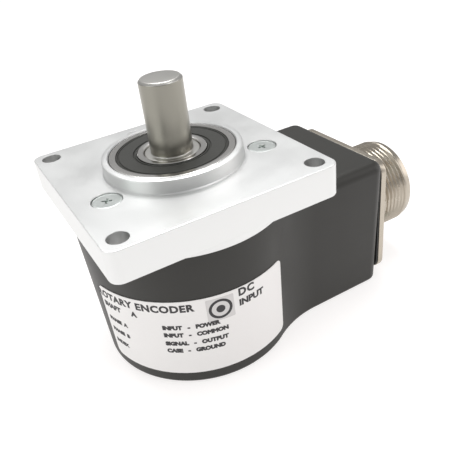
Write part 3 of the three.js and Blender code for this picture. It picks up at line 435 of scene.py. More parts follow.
class FinishShelf:
    """Builds each finish once and hands it out."""

    def __init__(self) -> None:
        """Start with no finish built."""
        self.made: dict[str, bpy.types.Material] = {}

    def take(self, finish: Finish | BoardFinish | DiscFinish) -> bpy.types.Material:
        """The material of a finish."""
        if finish.name not in self.made:
            self.made[finish.name] = finish.build()
        return self.made[finish.name]


SHELF = FinishShelf()


# ---------------------------------------------------------------- bench tools


def make_active(*objects: bpy.types.Object) -> None:
    """Select only these objects, the first as the active one."""
    bpy.ops.object.select_all(action="DESELECT")
    for piece in objects:
        piece.select_set(True)
    bpy.context.view_layer.objects.active = objects[0]


@contextmanager
def editing(piece: bpy.types.Object, mode: str = "VERT") -> Iterator[bmesh.types.BMesh]:
    """Edit mode on one piece, with nothing selected at first.

    Args:
        piece: the object to edit.
        mode: VERT, EDGE or FACE.

    Returns:
        The mesh being edited.
    """
    make_active(piece)
    bpy.ops.object.mode_set(mode="EDIT")
    bpy.ops.mesh.select_mode(type=mode)
    bpy.ops.mesh.select_all(action="DESELECT")
    yield bmesh.from_edit_mesh(piece.data)
    bpy.ops.object.mode_set(mode="OBJECT")


def weld_and_face_out() -> None:
    """In edit mode, merge doubled points and turn every face outwards."""
    bpy.ops.mesh.select_all(action="SELECT")
    bpy.ops.mesh.remove_doubles(threshold=WELD)
    bpy.ops.mesh.normals_make_consistent(inside=False)


def close_up(piece: bpy.types.Object) -> None:
    """Weld a finished piece, drop its slivers, close pinholes and turn its faces outwards."""
    with editing(piece):
        weld_and_face_out()
        bpy.ops.mesh.dissolve_degenerate(threshold=WELD)
        bpy.ops.mesh.select_all(action="SELECT")
        bpy.ops.mesh.fill_holes(sides=PINHOLE_SIDES)
        weld_and_face_out()


def turned(profile: Sequence[Point], segments: int = FINE_SEGMENTS) -> bpy.types.Object:
    """Spin a profile about Z.

    Args:
        profile: (radius, height) points in millimetres, from axis to axis or closed on itself.
        segments: steps round the turn.

    Returns:
        The closed solid.
    """
    bpy.ops.mesh.primitive_plane_add(size=MM)
    piece = bpy.context.object
    with editing(piece):
        bpy.ops.mesh.select_all(action="SELECT")
        bpy.ops.mesh.merge(type="CENTER")
        bpy.ops.transform.translate(value=(profile[0][0] * MM, 0, profile[0][1] * MM))
        for (radius, height), (next_radius, next_height) in pairwise(profile):
            step = ((next_radius - radius) * MM, 0, (next_height - height) * MM)
            bpy.ops.mesh.extrude_vertices_move(TRANSFORM_OT_translate={"value": step})
        bpy.ops.mesh.select_all(action="SELECT")
        bpy.ops.mesh.spin(steps=segments, angle=FULL_TURN, center=(0, 0, 0), axis=(0, 0, 1))
        weld_and_face_out()
    return piece


def rod(radius: float, low: float, high: float, segments: int) -> bpy.types.Object:
    """A plain cylinder about Z between two heights."""
    return turned([(0, low), (radius, low), (radius, high), (0, high)], segments)


def closed(profile: Sequence[Point]) -> list[Point]:
    """The profile with its first point repeated at the end."""
    return [*profile, profile[0]]


def softened(corners: Sequence[Point], radius: float, steps: int = 3) -> list[Point]:
    """Round every corner of a profile but its two ends.

    Args:
        corners: the profile's corner points.
        radius: length taken off each side of a corner, at most a third of that side.
        steps: straight pieces along each rounding.

    Returns:
        The rounded profile.
    """
    result: list[Point] = [corners[0]]
    for last, corner, following in zip(corners, corners[1:], corners[2:]):
        here = Vector(corner)
        to_last = Vector(last) - here
        to_next = Vector(following) - here
        reach = min(radius, to_last.length / 3, to_next.length / 3)
        start = here + to_last.normalized() * reach
        end = here + to_next.normalized() * reach
        for step in range(steps + 1):
            share = step / steps
            point = start.lerp(here, share).lerp(here.lerp(end, share), share)
            result.append((point.x, point.y))
    return [*result, corners[-1]]


def block(size: Sequence[float], centre: Sequence[float]) -> bpy.types.Object:
    """A block of the size at the centre, both in millimetres, with its place in its mesh."""
    bpy.ops.mesh.primitive_cube_add(size=1, location=[c * MM for c in centre])
    piece = bpy.context.object
    piece.scale = [s * MM for s in size]
    make_active(piece)
    bpy.ops.object.transform_apply(location=True, rotation=True, scale=True)
    return piece


def copied(piece: bpy.types.Object, matrix: Matrix) -> bpy.types.Object:
    """A copy of a piece with its own mesh, moved by a matrix."""
    twin = piece.copy()
    twin.data = piece.data.copy()
    bpy.context.collection.objects.link(twin)
    twin.data.transform(matrix)
    return twin


def joined(pieces: Sequence[bpy.types.Object]) -> bpy.types.Object:
    """Several pieces as one object."""
    make_active(*pieces)
    bpy.ops.object.join()
    return bpy.context.object


def boolean(body: bpy.types.Object, tool: bpy.types.Object, operation: str) -> None:
    """Join a tool to a body or cut it away, and remove the tool."""
    modifier = body.modifiers.new("fit", "BOOLEAN")
    modifier.operation = operation
    modifier.object = tool
    modifier.solver = "EXACT"
    make_active(body)
    bpy.ops.object.modifier_apply(modifier=modifier.name)
    bpy.data.objects.remove(tool)


def moved(x: float, y: float, z: float) -> Matrix:
    """A move in millimetres."""
    return Matrix.Translation(Vector((x, y, z)) * MM)


def bevel_edges(
    piece: bpy.types.Object,
    chosen: Callable[[bmesh.types.BMEdge], bool],
    width: float,
    segments: int,
) -> None:
    """Bevel the edges that a test picks.

    Args:
        piece: the object.
        chosen: says for an edge whether it is bevelled.
        width: bevel width in millimetres.
        segments: pieces across the bevel.
    """
    with editing(piece, "EDGE") as mesh:
        for edge in mesh.edges:
            edge.select_set(chosen(edge))
        bmesh.update_edit_mesh(piece.data)
        bpy.ops.mesh.bevel(offset=width * MM, segments=segments, profile=0.5, affect="EDGES")


def runs_along(axis: int) -> Callable[[bmesh.types.BMEdge], bool]:
    """A test for edges that run along one axis."""
    def test(edge: bmesh.types.BMEdge) -> bool:
        """Whether the edge runs along the axis."""
        return abs((edge.verts[0].co - edge.verts[1].co).normalized()[axis]) > 0.999
    return test


def borders_face_along(axis: int) -> Callable[[bmesh.types.BMEdge], bool]:
    """A test for the rim edges of faces that look along one axis."""
    def test(edge: bmesh.types.BMEdge) -> bool:
        """Whether just one of the edge's faces looks along the axis."""
        return sum(abs(face.normal[axis]) > 0.99 for face in edge.link_faces) == 1
    return test


def fit(
    piece: bpy.types.Object,
    name: str,
    finish: Finish | BoardFinish | DiscFinish,
    *nodes: str,
    body: str = BODY,
    slot: str = "",
    smooth: float = SMOOTH_DEGREES,
) -> None:
    """Close, smooth, dress, name and hang a finished piece.

    Args:
        piece: the object, with its place in its mesh.
        name: what it is called.
        finish: its surface finish.
        nodes: the CAD nodes that it stands for.
        body: the body it rides on.
        slot: not used.
        smooth: faces that meet at less than this many degrees are shaded as one.
    """
    close_up(piece)
    make_active(piece)
    bpy.ops.object.shade_smooth_by_angle(angle=math.radians(smooth))
    weighted = piece.modifiers.new("even_shading", "WEIGHTED_NORMAL")
    weighted.keep_sharp = True
    bpy.ops.object.modifier_apply(modifier=weighted.name)
    piece.name = name
    piece.data.materials.clear()
    piece.data.materials.append(SHELF.take(finish))
    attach(piece, body)
    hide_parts(*nodes)
    log.info("%s: %d faces on %s", name, len(piece.data.polygons), body)


@dataclass(frozen=True)
class Extent:
    """The box of a CAD node in millimetres."""

    low: Vector
    high: Vector

    @classmethod
    def of(cls, node: str) -> Extent:
        """The box of a node."""
        low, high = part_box(node)
        return cls(low / MM, high / MM)

    @property
    def centre(self) -> Vector:
        """Middle of the box."""
        return (self.low + self.high) / 2


# ---------------------------------------------------------------- screws


@dataclass
class CrossRecess:
    """Tapered cross that a driver fits."""

    length: float
    width: float
    depth: float
    taper: float = 0.62

    def cutter(self) -> bpy.types.Object:
        """The cross as a solid, with its mouth just above height zero."""
        arms = [self.arm(self.length, self.width), self.arm(self.width, self.length)]
        boolean(arms[0], arms[1], "UNION")
        return arms[0]

    def arm(self, along: float, across: float) -> bpy.types.Object:
        """One bar of the cross, narrower at its foot."""
        mouth = 0.3
        bar = block((along, across, self.depth + mouth), (0, 0, (mouth - self.depth) / 2))
        with editing(bar, "FACE") as mesh:
            for face in mesh.faces:
                face.select_set(face.normal.z < -0.9)
            bmesh.update_edit_mesh(bar.data)
            foot = (0, 0, -self.depth * MM)
            bpy.ops.transform.resize(value=(self.taper, self.taper, 1), center_override=foot)
        return bar


@dataclass
class FlangeScrews:
    """Countersunk screws that hold the flange to the cover."""

    head: float = 3.12
    length: float = 16.0
    shank: float = 1.75
    rim: float = 0.3
    dome: float = 0.06
    turns: tuple[float, ...] = (25, 62, 8)
    recess: CrossRecess = field(default_factory=lambda: CrossRecess(2.4, 0.62, depth=1.2))

    def build(self) -> None:
        """Make one screw and copy it to each place."""
        head, length = self.head, self.length
        corners = [
            (0, -length),
            (self.shank - 0.5, -length),
            (self.shank, 0.5 - length),
            (self.shank, -self.rim - (head - self.shank)),
            (head, -self.rim),
            (head, -self.dome),
            (head - 0.5, 0),
            (0, 0),
        ]
        pattern = turned(softened(corners, 0.16), segments=72)
        boolean(pattern, self.recess.cutter(), "DIFFERENCE")
        for index, turn in enumerate(self.turns, 1):
            node = f"flange_screw_{index}"
            box = Extent.of(node)
            place = moved(box.centre.x, box.centre.y, box.high.z)
            screw = copied(pattern, place @ Matrix.Rotation(math.radians(turn), 4, "Z"))
            fit(screw, f"countersunk_screw_{index}", ZINC_PLATE, node)
        bpy.data.objects.remove(pattern)


# ---------------------------------------------------------------- flange


@dataclass
class Flange:
    """Square plate, pilot, spigot, register and bearing hub in one casting."""

    side: float = 52.3
    thickness: float = 7.4
    face: float = 45.7
    corner: float = 2.6
    chamfer: float = 0.3
    hole_spacing: float = 44.45
    hole: float = 2.2
    hole_chamfer: float = 0.08
    countersink: float = 3.3
    screw_hole: float = 1.85
    screw_rim: float = 45.2
    pilot: float = 15.875
    pilot_top: float = 48.875
    spigot: float = 25.3
    spigot_bottom: float = 36.05
    register: float = 23.05
    register_bottom: float = 33.05
    o_ring_groove: tuple[float, float] = (33.8, 35.3)
    o_ring_depth: float = 1.1
    hub: float = 16.2875
    hub_bottom: float = 23.545
    seat: float = 14.3375
    stop: float = 12.75
    stop_ends: tuple[float, float] = (34.785, 40.785)
    clip_groove: tuple[float, float] = (24.945, 26.045)
    clip_depth: float = 0.75

    def build(self) -> None:
        """Make the casting."""
        middle = self.face - self.thickness / 2
        plate = block((self.side, self.side, self.thickness), (0, 0, middle))
        bevel_edges(plate, runs_along(2), self.corner, 10)
        bevel_edges(plate, borders_face_along(2), self.chamfer, 2)
        boolean(plate, turned(self.core()), "UNION")
        boolean(plate, turned(self.bore()), "DIFFERENCE")
        self.drill(plate)
        fit(plate, "square_flange", FLANGE_ALUMINIUM, "flange_plate")

    def core(self) -> list[Point]:
        """Outside of the turned part, from the hub's end to the pilot's face."""
        inside = self.face - self.thickness / 2
        foot = 0.25
        groove = self.register - self.o_ring_depth
        groove_low, groove_high = self.o_ring_groove
        return [
            (0, self.hub_bottom),
            (self.hub - 0.4, self.hub_bottom),
            (self.hub, self.hub_bottom + 0.4),
            (self.hub, self.register_bottom),
            (self.register - 0.3, self.register_bottom),
            (self.register, self.register_bottom + 0.3),
            (self.register, groove_low),
            (groove, groove_low),
            (groove, groove_high),
            (self.register, groove_high),
            (self.register, self.spigot_bottom),
            (self.spigot - 0.15, self.spigot_bottom),
            (self.spigot, self.spigot_bottom + 0.15),
            (self.spigot, inside),
            (self.pilot + foot, inside),
            (self.pilot + foot, self.face),
            (self.pilot, self.face + foot),
            (self.pilot, self.pilot_top - 0.5),
            (self.pilot - 0.14, self.pilot_top - 0.16),
            (self.pilot - 0.5, self.pilot_top),
            (0, self.pilot_top),
        ]

    def bore(self) -> list[Point]:
        """Seats of the two bearings, the stop between them and the ring's groove."""
        groove = self.seat + self.clip_depth
        clip_low, clip_high = self.clip_groove
        stop_low, stop_high = self.stop_ends
        lead = 0.22
        return [
            (0, self.hub_bottom - 1),
            (self.seat, self.hub_bottom - 1),
            (self.seat, clip_low),
            (groove, clip_low),
            (groove, clip_high),
            (self.seat, clip_high),
            (self.seat, stop_low),
            (self.stop, stop_low),
            (self.stop, stop_high),
            (self.seat, stop_high),
            (self.seat, self.pilot_top - lead),
            (self.seat + lead, self.pilot_top),
            (self.seat + lead, self.pilot_top + 1),
            (0, self.pilot_top + 1),
        ]

    def drill(self, plate: bpy.types.Object) -> None:
        """Cut the mounting holes and the countersunk screw holes."""
        low = self.face - self.thickness
        edge = self.hole_chamfer
        hole = turned([
            (0, low - 1),
            (self.hole + edge, low - 1),
            (self.hole + edge, low),
            (self.hole, low + edge),
            (self.hole, self.face - edge),
            (self.hole + edge, self.face),
            (self.hole + edge, self.face + 1),
            (0, self.face + 1),
        ], SMALL_SEGMENTS * 2)
        half = self.hole_spacing / 2
        for x, y in ((half, half), (-half, half), (-half, -half), (half, -half)):
            boolean(plate, copied(hole, moved(x, y, 0)), "DIFFERENCE")
        bpy.data.objects.remove(hole)
        sink = turned([
            (0, self.register_bottom - 1),
            (self.screw_hole, self.register_bottom - 1),
            (self.screw_hole, self.screw_rim - self.countersink + self.screw_hole),
            (self.countersink, self.screw_rim),
            (self.countersink, self.face - 0.12),
            (self.countersink + 0.12, self.face),
            (self.countersink + 0.12, self.face + 1),
            (0, self.face + 1),
        ], SMALL_SEGMENTS * 2)
        for index in (1, 2, 3):
            centre = Extent.of(f"flange_screw_{index}").centre
            boolean(plate, copied(sink, moved(centre.x, centre.y, 0)), "DIFFERENCE")
        bpy.data.objects.remove(sink)


# ---------------------------------------------------------------- cover


def arc(centre: Point, radius: float, start: float, end: float, steps: int) -> list[Point]:
    """Points along an arc.

    Args:
        centre: its centre.
        radius: its radius.
        start: first angle in degrees.
        end: last angle in degrees.
        steps: pieces along it.

    Returns:
        steps + 1 points.
    """
    angles = [math.radians(start + (end - start) * i / steps) for i in range(steps + 1)]
    return [(centre[0] + radius * math.cos(a), centre[1] + radius * math.sin(a)) for a in angles]


def lofted(sections: Sequence[Sequence[Place]], name: str) -> bpy.types.Object:
    """A closed solid through outlines with equally many points, lowest first.

    Args:
        sections: the outlines in millimetres.
        name: the mesh's name.

    Returns:
        The solid.
    """
    mesh = bmesh.new()
    loops = [[mesh.verts.new(Vector(point) * MM) for point in section] for section in sections]
    count = len(loops[0])
    for lower, upper in pairwise(loops):
        for i in range(count):
            j = (i + 1) % count
            mesh.faces.new((lower[i], lower[j], upper[j], upper[i]))
    mesh.faces.new(reversed(loops[0]))
    mesh.faces.new(loops[-1])
    data = bpy.data.meshes.new(name)
    mesh.to_mesh(data)
    mesh.free()
    piece = bpy.data.objects.new(name, data)
    bpy.context.collection.objects.link(piece)
    return piece


@dataclass
class Cover:
    """Round drafted cup with the connector's box on its side.

    Its outline changes with the height, which no primitive gives, so it is lofted.
    """

    rim: float = 36.05
    radius: float = 25.2
    draft: float = 0.0385
    rear_round: float = 1.2
    reach: float = 47.0
    half_width: float = 18.1
    end_corner: float = 3.0
    fillet: float = 24.0
    edge: float = 2.6
    wall: float = 2.0
    floor: float = 2.4
    roof: float = 2.8
    side_wall: float = 2.2
    end_wall: float = 4.0
    column: float = 3.2
    column_top: float = 33.05
    screw_hole: float = 1.85
    screw_hole_ends: tuple[float, float] = (28.5, 35)
    opening: float = 10.7
    axis: float = 18.2

    def outline(self, inset: float, end_inset: float) -> list[Point]:
        """The cover's outline, drawn in by an inset at its walls and another at its end."""
        centre_y = self.half_width + self.fillet
        centre_x = math.sqrt((self.radius + self.fillet) ** 2 - centre_y ** 2)
        leave = math.degrees(math.atan2(centre_y, centre_x))
        corner = self.end_corner - end_inset
        end = self.reach - self.end_corner
        side = self.half_width - inset - corner
        return [
            *arc((0, 0), self.radius - inset, leave, 360 - leave, 110),
            *arc((centre_x, -centre_y), self.fillet + inset, 180 - leave, 90, 16)[1:],
            *arc((end, -side), corner, -90, 0, 8),
            *arc((end, side), corner, 0, 90, 8),
            *arc((centre_x, centre_y), self.fillet + inset, -90, leave - 180, 16)[:-1],
        ]

    def section(self, height: float, rounding: float, whole: bool) -> list[Place]:
        """Outline at a height.

        Args:
            height: its height.
            rounding: how far the edge rounding draws it in.
            whole: whether the round wall is drawn in as well as the box.

        Returns:
            Its points.
        """
        inset = self.draft * (self.rim - height)
        points = []
        for plain, drawn in zip(self.outline(inset, 0), self.outline(inset + rounding, rounding)):
            reach = min(1.0, max(0.0, plain[0] * 2 / self.radius - 1))
            share = 1.0 if whole else reach * reach * (3 - 2 * reach)
            points.append((*(p + (d - p) * share for p, d in zip(plain, drawn)), height))
        return points

    def shell(self) -> bpy.types.Object:
        """Outside of the cover as a solid."""
        sections = []
        steps = 6
        for step in range(steps + 1):
            turn = math.pi / 2 * step / steps
            inset = self.rear_round * (1 - math.sin(turn))
            sections.append(self.section(self.rear_round * (1 - math.cos(turn)), inset, True))
        for step in range(steps + 2):
            turn = math.pi / 2 * step / (steps + 1)
            height = self.rim - self.edge * (1 - math.sin(turn))
            sections.append(self.section(height, self.edge * (1 - math.cos(turn)), False))
        return lofted(sections, "cover_shell")

    def build(self) -> None:
        """Make the cover with its cavity, screw columns and connector opening."""
        cover = self.shell()
        cavity = self.radius - self.wall
        foot = cavity - self.draft * (self.rim - self.floor)
        over = self.rim + 1
        boolean(cover, turned(softened([
            (0, self.floor), (foot, self.floor), (cavity, self.rim), (cavity, over), (0, over)
        ], 0.8)), "DIFFERENCE")
        roof = self.rim - self.roof
        length = self.reach - self.end_wall
        half = self.half_width - self.draft * self.rim - self.side_wall
        box = block((length, half * 2, roof - self.floor), (length / 2, 0, (roof + self.floor) / 2))
        bevel_edges(box, runs_along(0), 1.0, 4)
        boolean(cover, box, "DIFFERENCE")
        opening = rod(self.opening, 0, 8, OPENING_SEGMENTS)
        opening.data.transform(along_x(length - 1, self.axis))
        boolean(cover, opening, "DIFFERENCE")
        self.columns(cover)
        fit(cover, "round_cover", COVER_BLACK, "housing_cover")

    def columns(self, cover: bpy.types.Object) -> None:
        """Add the columns that the flange screws run into, with their holes."""
        low = self.floor / 2
        edge = 0.2
        column = turned([
            (0, low),
            (self.column, low),
            (self.column, self.column_top - edge),
            (self.column - edge, self.column_top),
            (0, self.column_top),
        ], SMALL_SEGMENTS)
        hole = rod(self.screw_hole, *self.screw_hole_ends, SMALL_SEGMENTS)
        for index in (1, 2, 3):
            centre = Extent.of(f"flange_screw_{index}").centre
            place = moved(centre.x, centre.y, 0)
            boolean(cover, copied(column, place), "UNION")
            boolean(cover, copied(hole, place), "DIFFERENCE")
        bpy.data.objects.remove(column)
        bpy.data.objects.remove(hole)


def along_x(start: float, height: float) -> Matrix:
    """Turn a piece modelled up Z from zero so that it runs along X.

    Args:
        start: where it starts along X.
        height: height of its axis.

    Returns:
        The matrix.
    """
    return moved(start, 0, height) @ Matrix.Rotation(math.pi / 2, 4, "Y")


# ---------------------------------------------------------------- bearings and shaft


@dataclass
class Bearing:
    """Sealed deep-groove ball bearing."""

    prefix: str
    centre: float
    half: float = 3.97
    bore: float = 6.35
    outside: float = 14.2875
    pitch: float = 10.319
    ball: float = 1.984
    land: float = 1.19
    rim_outer: float = 12.70
    rim_inner: float = 7.858
    pocket: float = 1.0
    edge: float = 0.42

    def build(self) -> None:
        """Make both rings and both seals."""
        prefix, node = self.prefix, f"{self.prefix}_bearing"
        outer = turned(self.ring(self.outside, self.rim_outer, self.pitch + self.land, 1))
        fit(outer, f"{prefix}_outer_race", RING_STEEL, f"{node}_outer_ring")
        inner = turned(self.ring(self.bore, self.rim_inner - 0.05, self.pitch - self.land, -1))
        fit(inner, f"{prefix}_inner_race", RING_STEEL, f"{node}_inner_ring", body=ROTOR)
        for side, facing in (("front", 1), ("back", -1)):
            seal = turned(self.seal(facing))
            fit(seal, f"{prefix}_{side}_shield", SEAL_RUBBER, f"{node}_{side}_seal")

    def ring(self, seat: float, rim: float, land: float, outward: int) -> list[Point]:
        """Section of one ring.

        Args:
            seat: radius of its seat.
            rim: radius of its rim at the seal.
            land: radius beside the ball groove.
            outward: 1 for the outer ring, -1 for the inner one.

        Returns:
            The closed section.
        """
        edge = self.edge
        upper = [
            (seat - outward * edge, self.half),
            (rim + outward * 0.12, self.half),
            (rim, self.half - 0.12),
            (rim, self.half - self.pocket),
            (land, self.half - self.pocket),
        ]
        depth = self.ball + 0.06
        start = math.acos(self.land / depth)
        for step in range(5):
            turn = start * (1 - step / 4)
            upper.append((self.pitch + outward * depth * math.cos(turn), depth * math.sin(turn)))
        lower = [(radius, -height) for radius, height in reversed(upper[:-1])]
        corner = [(seat, self.half - edge), (seat - outward * edge * 0.3, self.half - edge * 0.3)]
        foot = [(radius, -height) for radius, height in reversed(corner)]
        section = [*corner, *upper, *lower, *foot]
        return closed([(radius, self.centre + height) for radius, height in section])

    def seal(self, facing: int) -> list[Point]:
        """Section of a moulded seal with a lip and a bead, facing up (1) or down (-1)."""
        top = self.half - 0.15
        back = top - 0.8
        inner, outer = self.rim_inner + 0.07, self.rim_outer - 0.02
        section = [
            (inner, back), (outer, back), (outer, top - 0.26), (outer - 0.16, top - 0.05),
            (outer - 0.34, top - 0.08), (outer - 0.48, top - 0.26), (outer - 0.66, top - 0.26),
            (outer - 0.8, top - 0.04), (outer - 0.95, top), (inner + 1.0, top),
            (inner + 0.86, top - 0.05), (inner + 0.72, top - 0.3), (inner + 0.52, top - 0.3),
            (inner + 0.38, top - 0.08), (inner + 0.14, top - 0.1), (inner, top - 0.24),
        ]
        return closed([(radius, self.centre + facing * height) for radius, height in section])


@dataclass
class Shaft:
    """Turned shaft with its collar, bearing seats and disc spindle."""

    tip: float = 64.9
    journal: float = 4.7625
    chamfer: float = 0.5
    shoulder: float = 48.425
    seat: float = 6.3
    collar: float = 7.8
    spindle: float = 4.0
    foot: float = 17.145
    seat_foot: float = 24.845
    clip_groove: tuple[float, float] = (25.745, 26.845)
    clip_depth: float = 0.45
    collar_ends: tuple[float, float] = (34.785, 40.785)

    def build(self) -> None:
        """Make the shaft."""
        groove = self.seat - self.clip_depth
        clip_low, clip_high = self.clip_groove
        collar_low, collar_high = self.collar_ends
        corners = [
            (0, self.foot),
            (self.spindle - 0.3, self.foot),
            (self.spindle, self.foot + 0.3),
            (self.spindle, self.seat_foot),
            (self.seat, self.seat_foot),
            (self.seat, clip_low),
            (groove, clip_low),
            (groove, clip_high),
            (self.seat, clip_high),
            (self.seat, collar_low),
            (self.collar, collar_low),
            (self.collar, collar_high),
            (self.seat, collar_high),
            (self.seat, self.shoulder - 0.25),
            (self.seat - 0.25, self.shoulder),
            (self.journal + 0.12, self.shoulder),
            (self.journal, self.shoulder + 0.12),
            (self.journal, self.tip - self.chamfer),
            (self.journal - self.chamfer, self.tip),
            (0, self.tip),
        ]
        shaft = turned(softened(corners, 0.08, steps=2))
        fit(shaft, "turned_shaft", SHAFT_STEEL, "shaft", body=ROTOR)


# ---------------------------------------------------------------- connector


@dataclass
class Connector:
    """Threaded seven-pin connector with its square plate."""

    axis: float = 18.2
    back: float = 44.5
    box_end: float = 47.0
    plate_back: float = 47.5
    plate_front: float = 49.1
    plate_side: float = 32.4
    plate_corner: float = 3.4
    skirt: float = 10.6
    undercut: float = 11.2
    crest: float = 11.9
    thread_start: float = 50.15
    thread_end: float = 61.55
    pitch: float = 1.27
    depth: float = 0.68
    lip: float = 11.5
    mouth: float = 63.4
    bore: float = 9.9
    steps_per_pitch: int = 10
    flank_smooth: float = 75
    hole_spacing: float = 24.6
    hole: float = 1.6
    insert_radius: float = 9.85
    insert_front: float = 51.5
    clip_front: float = 52.5
    clip_depth: float = 0.4
    pin_ends: tuple[float, float] = (41.9, 59.2)
    pin_shank: float = 1.035
    pin_tip: float = 0.795
    screw_turns: tuple[float, ...] = (12, 48, 71, 33)

    def build(self) -> None:
        """Make the shell, its insert, its pins and its screws."""
        self.shell()
        self.gasket()
        self.insert()
        self.pins()
        self.screws()

    def barrel(self) -> bpy.types.Object:
        """The turned barrel with its helical thread, still along Z."""
        step = self.pitch / self.steps_per_pitch
        count = round((self.thread_end - self.thread_start) / step)
        thread = [(self.crest, self.thread_start + step * i) for i in range(count + 1)]
        clip = self.bore + self.clip_depth
        barrel = turned(closed([
            (self.skirt, self.back),
            (self.skirt, self.plate_back + 0.8),
            (self.undercut, self.plate_back + 0.8),
            (self.undercut, self.plate_front + 0.5),
            (self.undercut + 0.3, self.plate_front + 0.9),
            *thread,
            (self.lip, self.thread_end + 0.35),
            (self.lip, self.mouth - 0.3),
            (self.lip - 0.3, self.mouth),
            (self.bore + 0.45, self.mouth),
            (self.bore, self.mouth - 0.45),
            (self.bore, self.clip_front),
            (clip, self.clip_front),
            (clip, self.insert_front),
            (self.bore, self.insert_front),
            (self.bore, self.back),
        ]))
        for vertex in barrel.data.vertices:
            place = vertex.co / MM
            radius = math.hypot(place.x, place.y)
            if radius > self.crest - 0.01:
                drop = self.groove(place.z, math.atan2(place.y, place.x))
                vertex.co.x *= 1 - drop / radius
                vertex.co.y *= 1 - drop / radius
        return barrel

    def groove(self, height: float, angle: float) -> float:
        """Depth of the thread at a point of the barrel."""
        phase = ((height - self.thread_start) / self.pitch - angle / FULL_TURN) % 1
        shape = min(1.0, max(0.0, 1.25 - 2.5 * abs(phase - 0.5)))
        fade = 0.6 * self.pitch
        ends = min(height - self.thread_start, self.thread_end - height) / fade
        return self.depth * shape * min(1.0, max(0.0, ends))

    def shell(self) -> None:
        """Make the plate and the barrel as one piece."""
        middle = (self.plate_back + self.plate_front) / 2
        size = (self.plate_front - self.plate_back, self.plate_side, self.plate_side)
        plate = block(size, (middle, 0, self.axis))
        bevel_edges(plate, runs_along(0), self.plate_corner, 8)
        bevel_edges(plate, borders_face_along(0), 0.2, 2)
        bore = rod(self.bore + 0.3, 0, 6, FINE_SEGMENTS)
        bore.data.transform(along_x(self.plate_back - 2, self.axis))
        boolean(plate, bore, "DIFFERENCE")
        self.pierce(plate, self.plate_back - 1)
        barrel = self.barrel()
        barrel.data.transform(along_x(0, self.axis))
        boolean(plate, barrel, "UNION")
        fit(plate, "threaded_shell", NICKEL_PLATE, "connector_shell", smooth=self.flank_smooth)

    def gasket(self) -> None:
        """Make the flat gasket between the plate and the box."""
        thickness = self.plate_back - self.box_end
        side = self.plate_side - 0.5
        sheet = block((thickness, side, side), (self.box_end + thickness / 2, 0, self.axis))
        bevel_edges(sheet, runs_along(0), self.plate_corner - 0.2, 8)
        bevel_edges(sheet, borders_face_along(0), 0.1, 2)
        hole = rod(self.skirt + 0.3, 0, 4, OPENING_SEGMENTS)
        hole.data.transform(along_x(self.box_end - 2, self.axis))
        boolean(sheet, hole, "DIFFERENCE")
        self.pierce(sheet, self.box_end - 1)
        fit(sheet, "flat_gasket", GASKET_RUBBER, "connector_gasket")

    def pierce(self, sheet: bpy.types.Object, start: float) -> None:
        """Cut the four screw holes through a sheet.

        Args:
            sheet: the sheet.
            start: where the cut starts along X.
        """
        hole = rod(self.hole, 0, 4, SMALL_SEGMENTS)
        for y, z in self.corners():
            place = moved(0, y, 0) @ along_x(start, self.axis + z)
            boolean(sheet, copied(hole, place), "DIFFERENCE")
        bpy.data.objects.remove(hole)

    def corners(self) -> list[Point]:
        """The four screw places, from the connector's axis."""
        half = self.hole_spacing / 2
        return [(half, half), (-half, half), (-half, -half), (half, -half)]

    def insert(self) -> None:
        """Make the moulded insert with a collar round each pin."""
        radius, front, collar_radius = self.insert_radius, self.insert_front, 1.55
        disc = turned([
            (0, self.back),
            (radius - 0.3, self.back),
            (radius, self.back + 0.3),
            (radius, front),
            (radius - 1.2, front),
            (radius - 1.4, front - 0.35),
            (0, front - 0.35),
        ], OPENING_SEGMENTS)
        collar = turned([
            (0, front - 0.8),
            (collar_radius, front - 0.8),
            (collar_radius, front - 0.1),
            (collar_radius - 0.15, front),
            (0, front),
        ], PIN_SEGMENTS)
        for node in self.pin_nodes():
            centre = Extent.of(node).centre
            spot = moved(self.axis - centre.z, centre.y, 0)
            boolean(disc, copied(collar, spot), "UNION")
        bpy.data.objects.remove(collar)
        disc.data.transform(along_x(0, self.axis))
        fit(disc, "moulded_insert", INSERT_PLASTIC, "connector_insert")

    def pin_nodes(self) -> list[str]:
        """Names of the pins' nodes."""
        return [f"contact_pin_{letter}" for letter in "abcdefg"]

    def pins(self) -> None:
        """Make one turned pin and copy it to each place."""
        low, high = self.pin_ends
        corners = [
            (0, low),
            (self.pin_shank, low),
            (self.pin_shank, self.insert_front - 0.1),
            (self.pin_tip, self.insert_front + 0.1),
            (self.pin_tip, high - 0.5),
            (self.pin_tip - 0.395, high),
            (0, high),
        ]
        pattern = turned(softened(corners, 0.12), PIN_SEGMENTS)
        for node in self.pin_nodes():
            centre = Extent.of(node).centre
            pin = copied(pattern, along_x(0, 0))
            pin.data.transform(moved(0, centre.y, centre.z))
            fit(pin, node.replace("contact", "turned"), CONTACT_GOLD, node)
        bpy.data.objects.remove(pattern)

    def screws(self) -> None:
        """Make one pan-head screw and copy it to each corner of the plate."""
        head, height, shank, length = 2.6, 1.9, 1.45, 5.4
        corners = [
            (0, -length),
            (shank - 0.4, -length),
            (shank, 0.4 - length),
            (shank, 0),
            (head, 0),
            (head, height * 0.55),
            (head * 0.72, height * 0.93),
            (0, height),
        ]
        pattern = turned(softened(corners, 0.3), segments=64)
        cross = CrossRecess(length=2.7, width=0.6, depth=1.1).cutter()
        cross.data.transform(moved(0, 0, height))
        boolean(pattern, cross, "DIFFERENCE")
        for index, turn in enumerate(self.screw_turns, 1):
            node = f"connector_screw_{index}"
            box = Extent.of(node)
            screw = copied(pattern, along_x(0, 0) @ Matrix.Rotation(math.radians(turn), 4, "Z"))
            screw.data.transform(moved(self.plate_front, box.centre.y, box.centre.z))
            fit(screw, f"pan_head_screw_{index}", ZINC_PLATE, node)
        bpy.data.objects.remove(pattern)


# ---------------------------------------------------------------- label


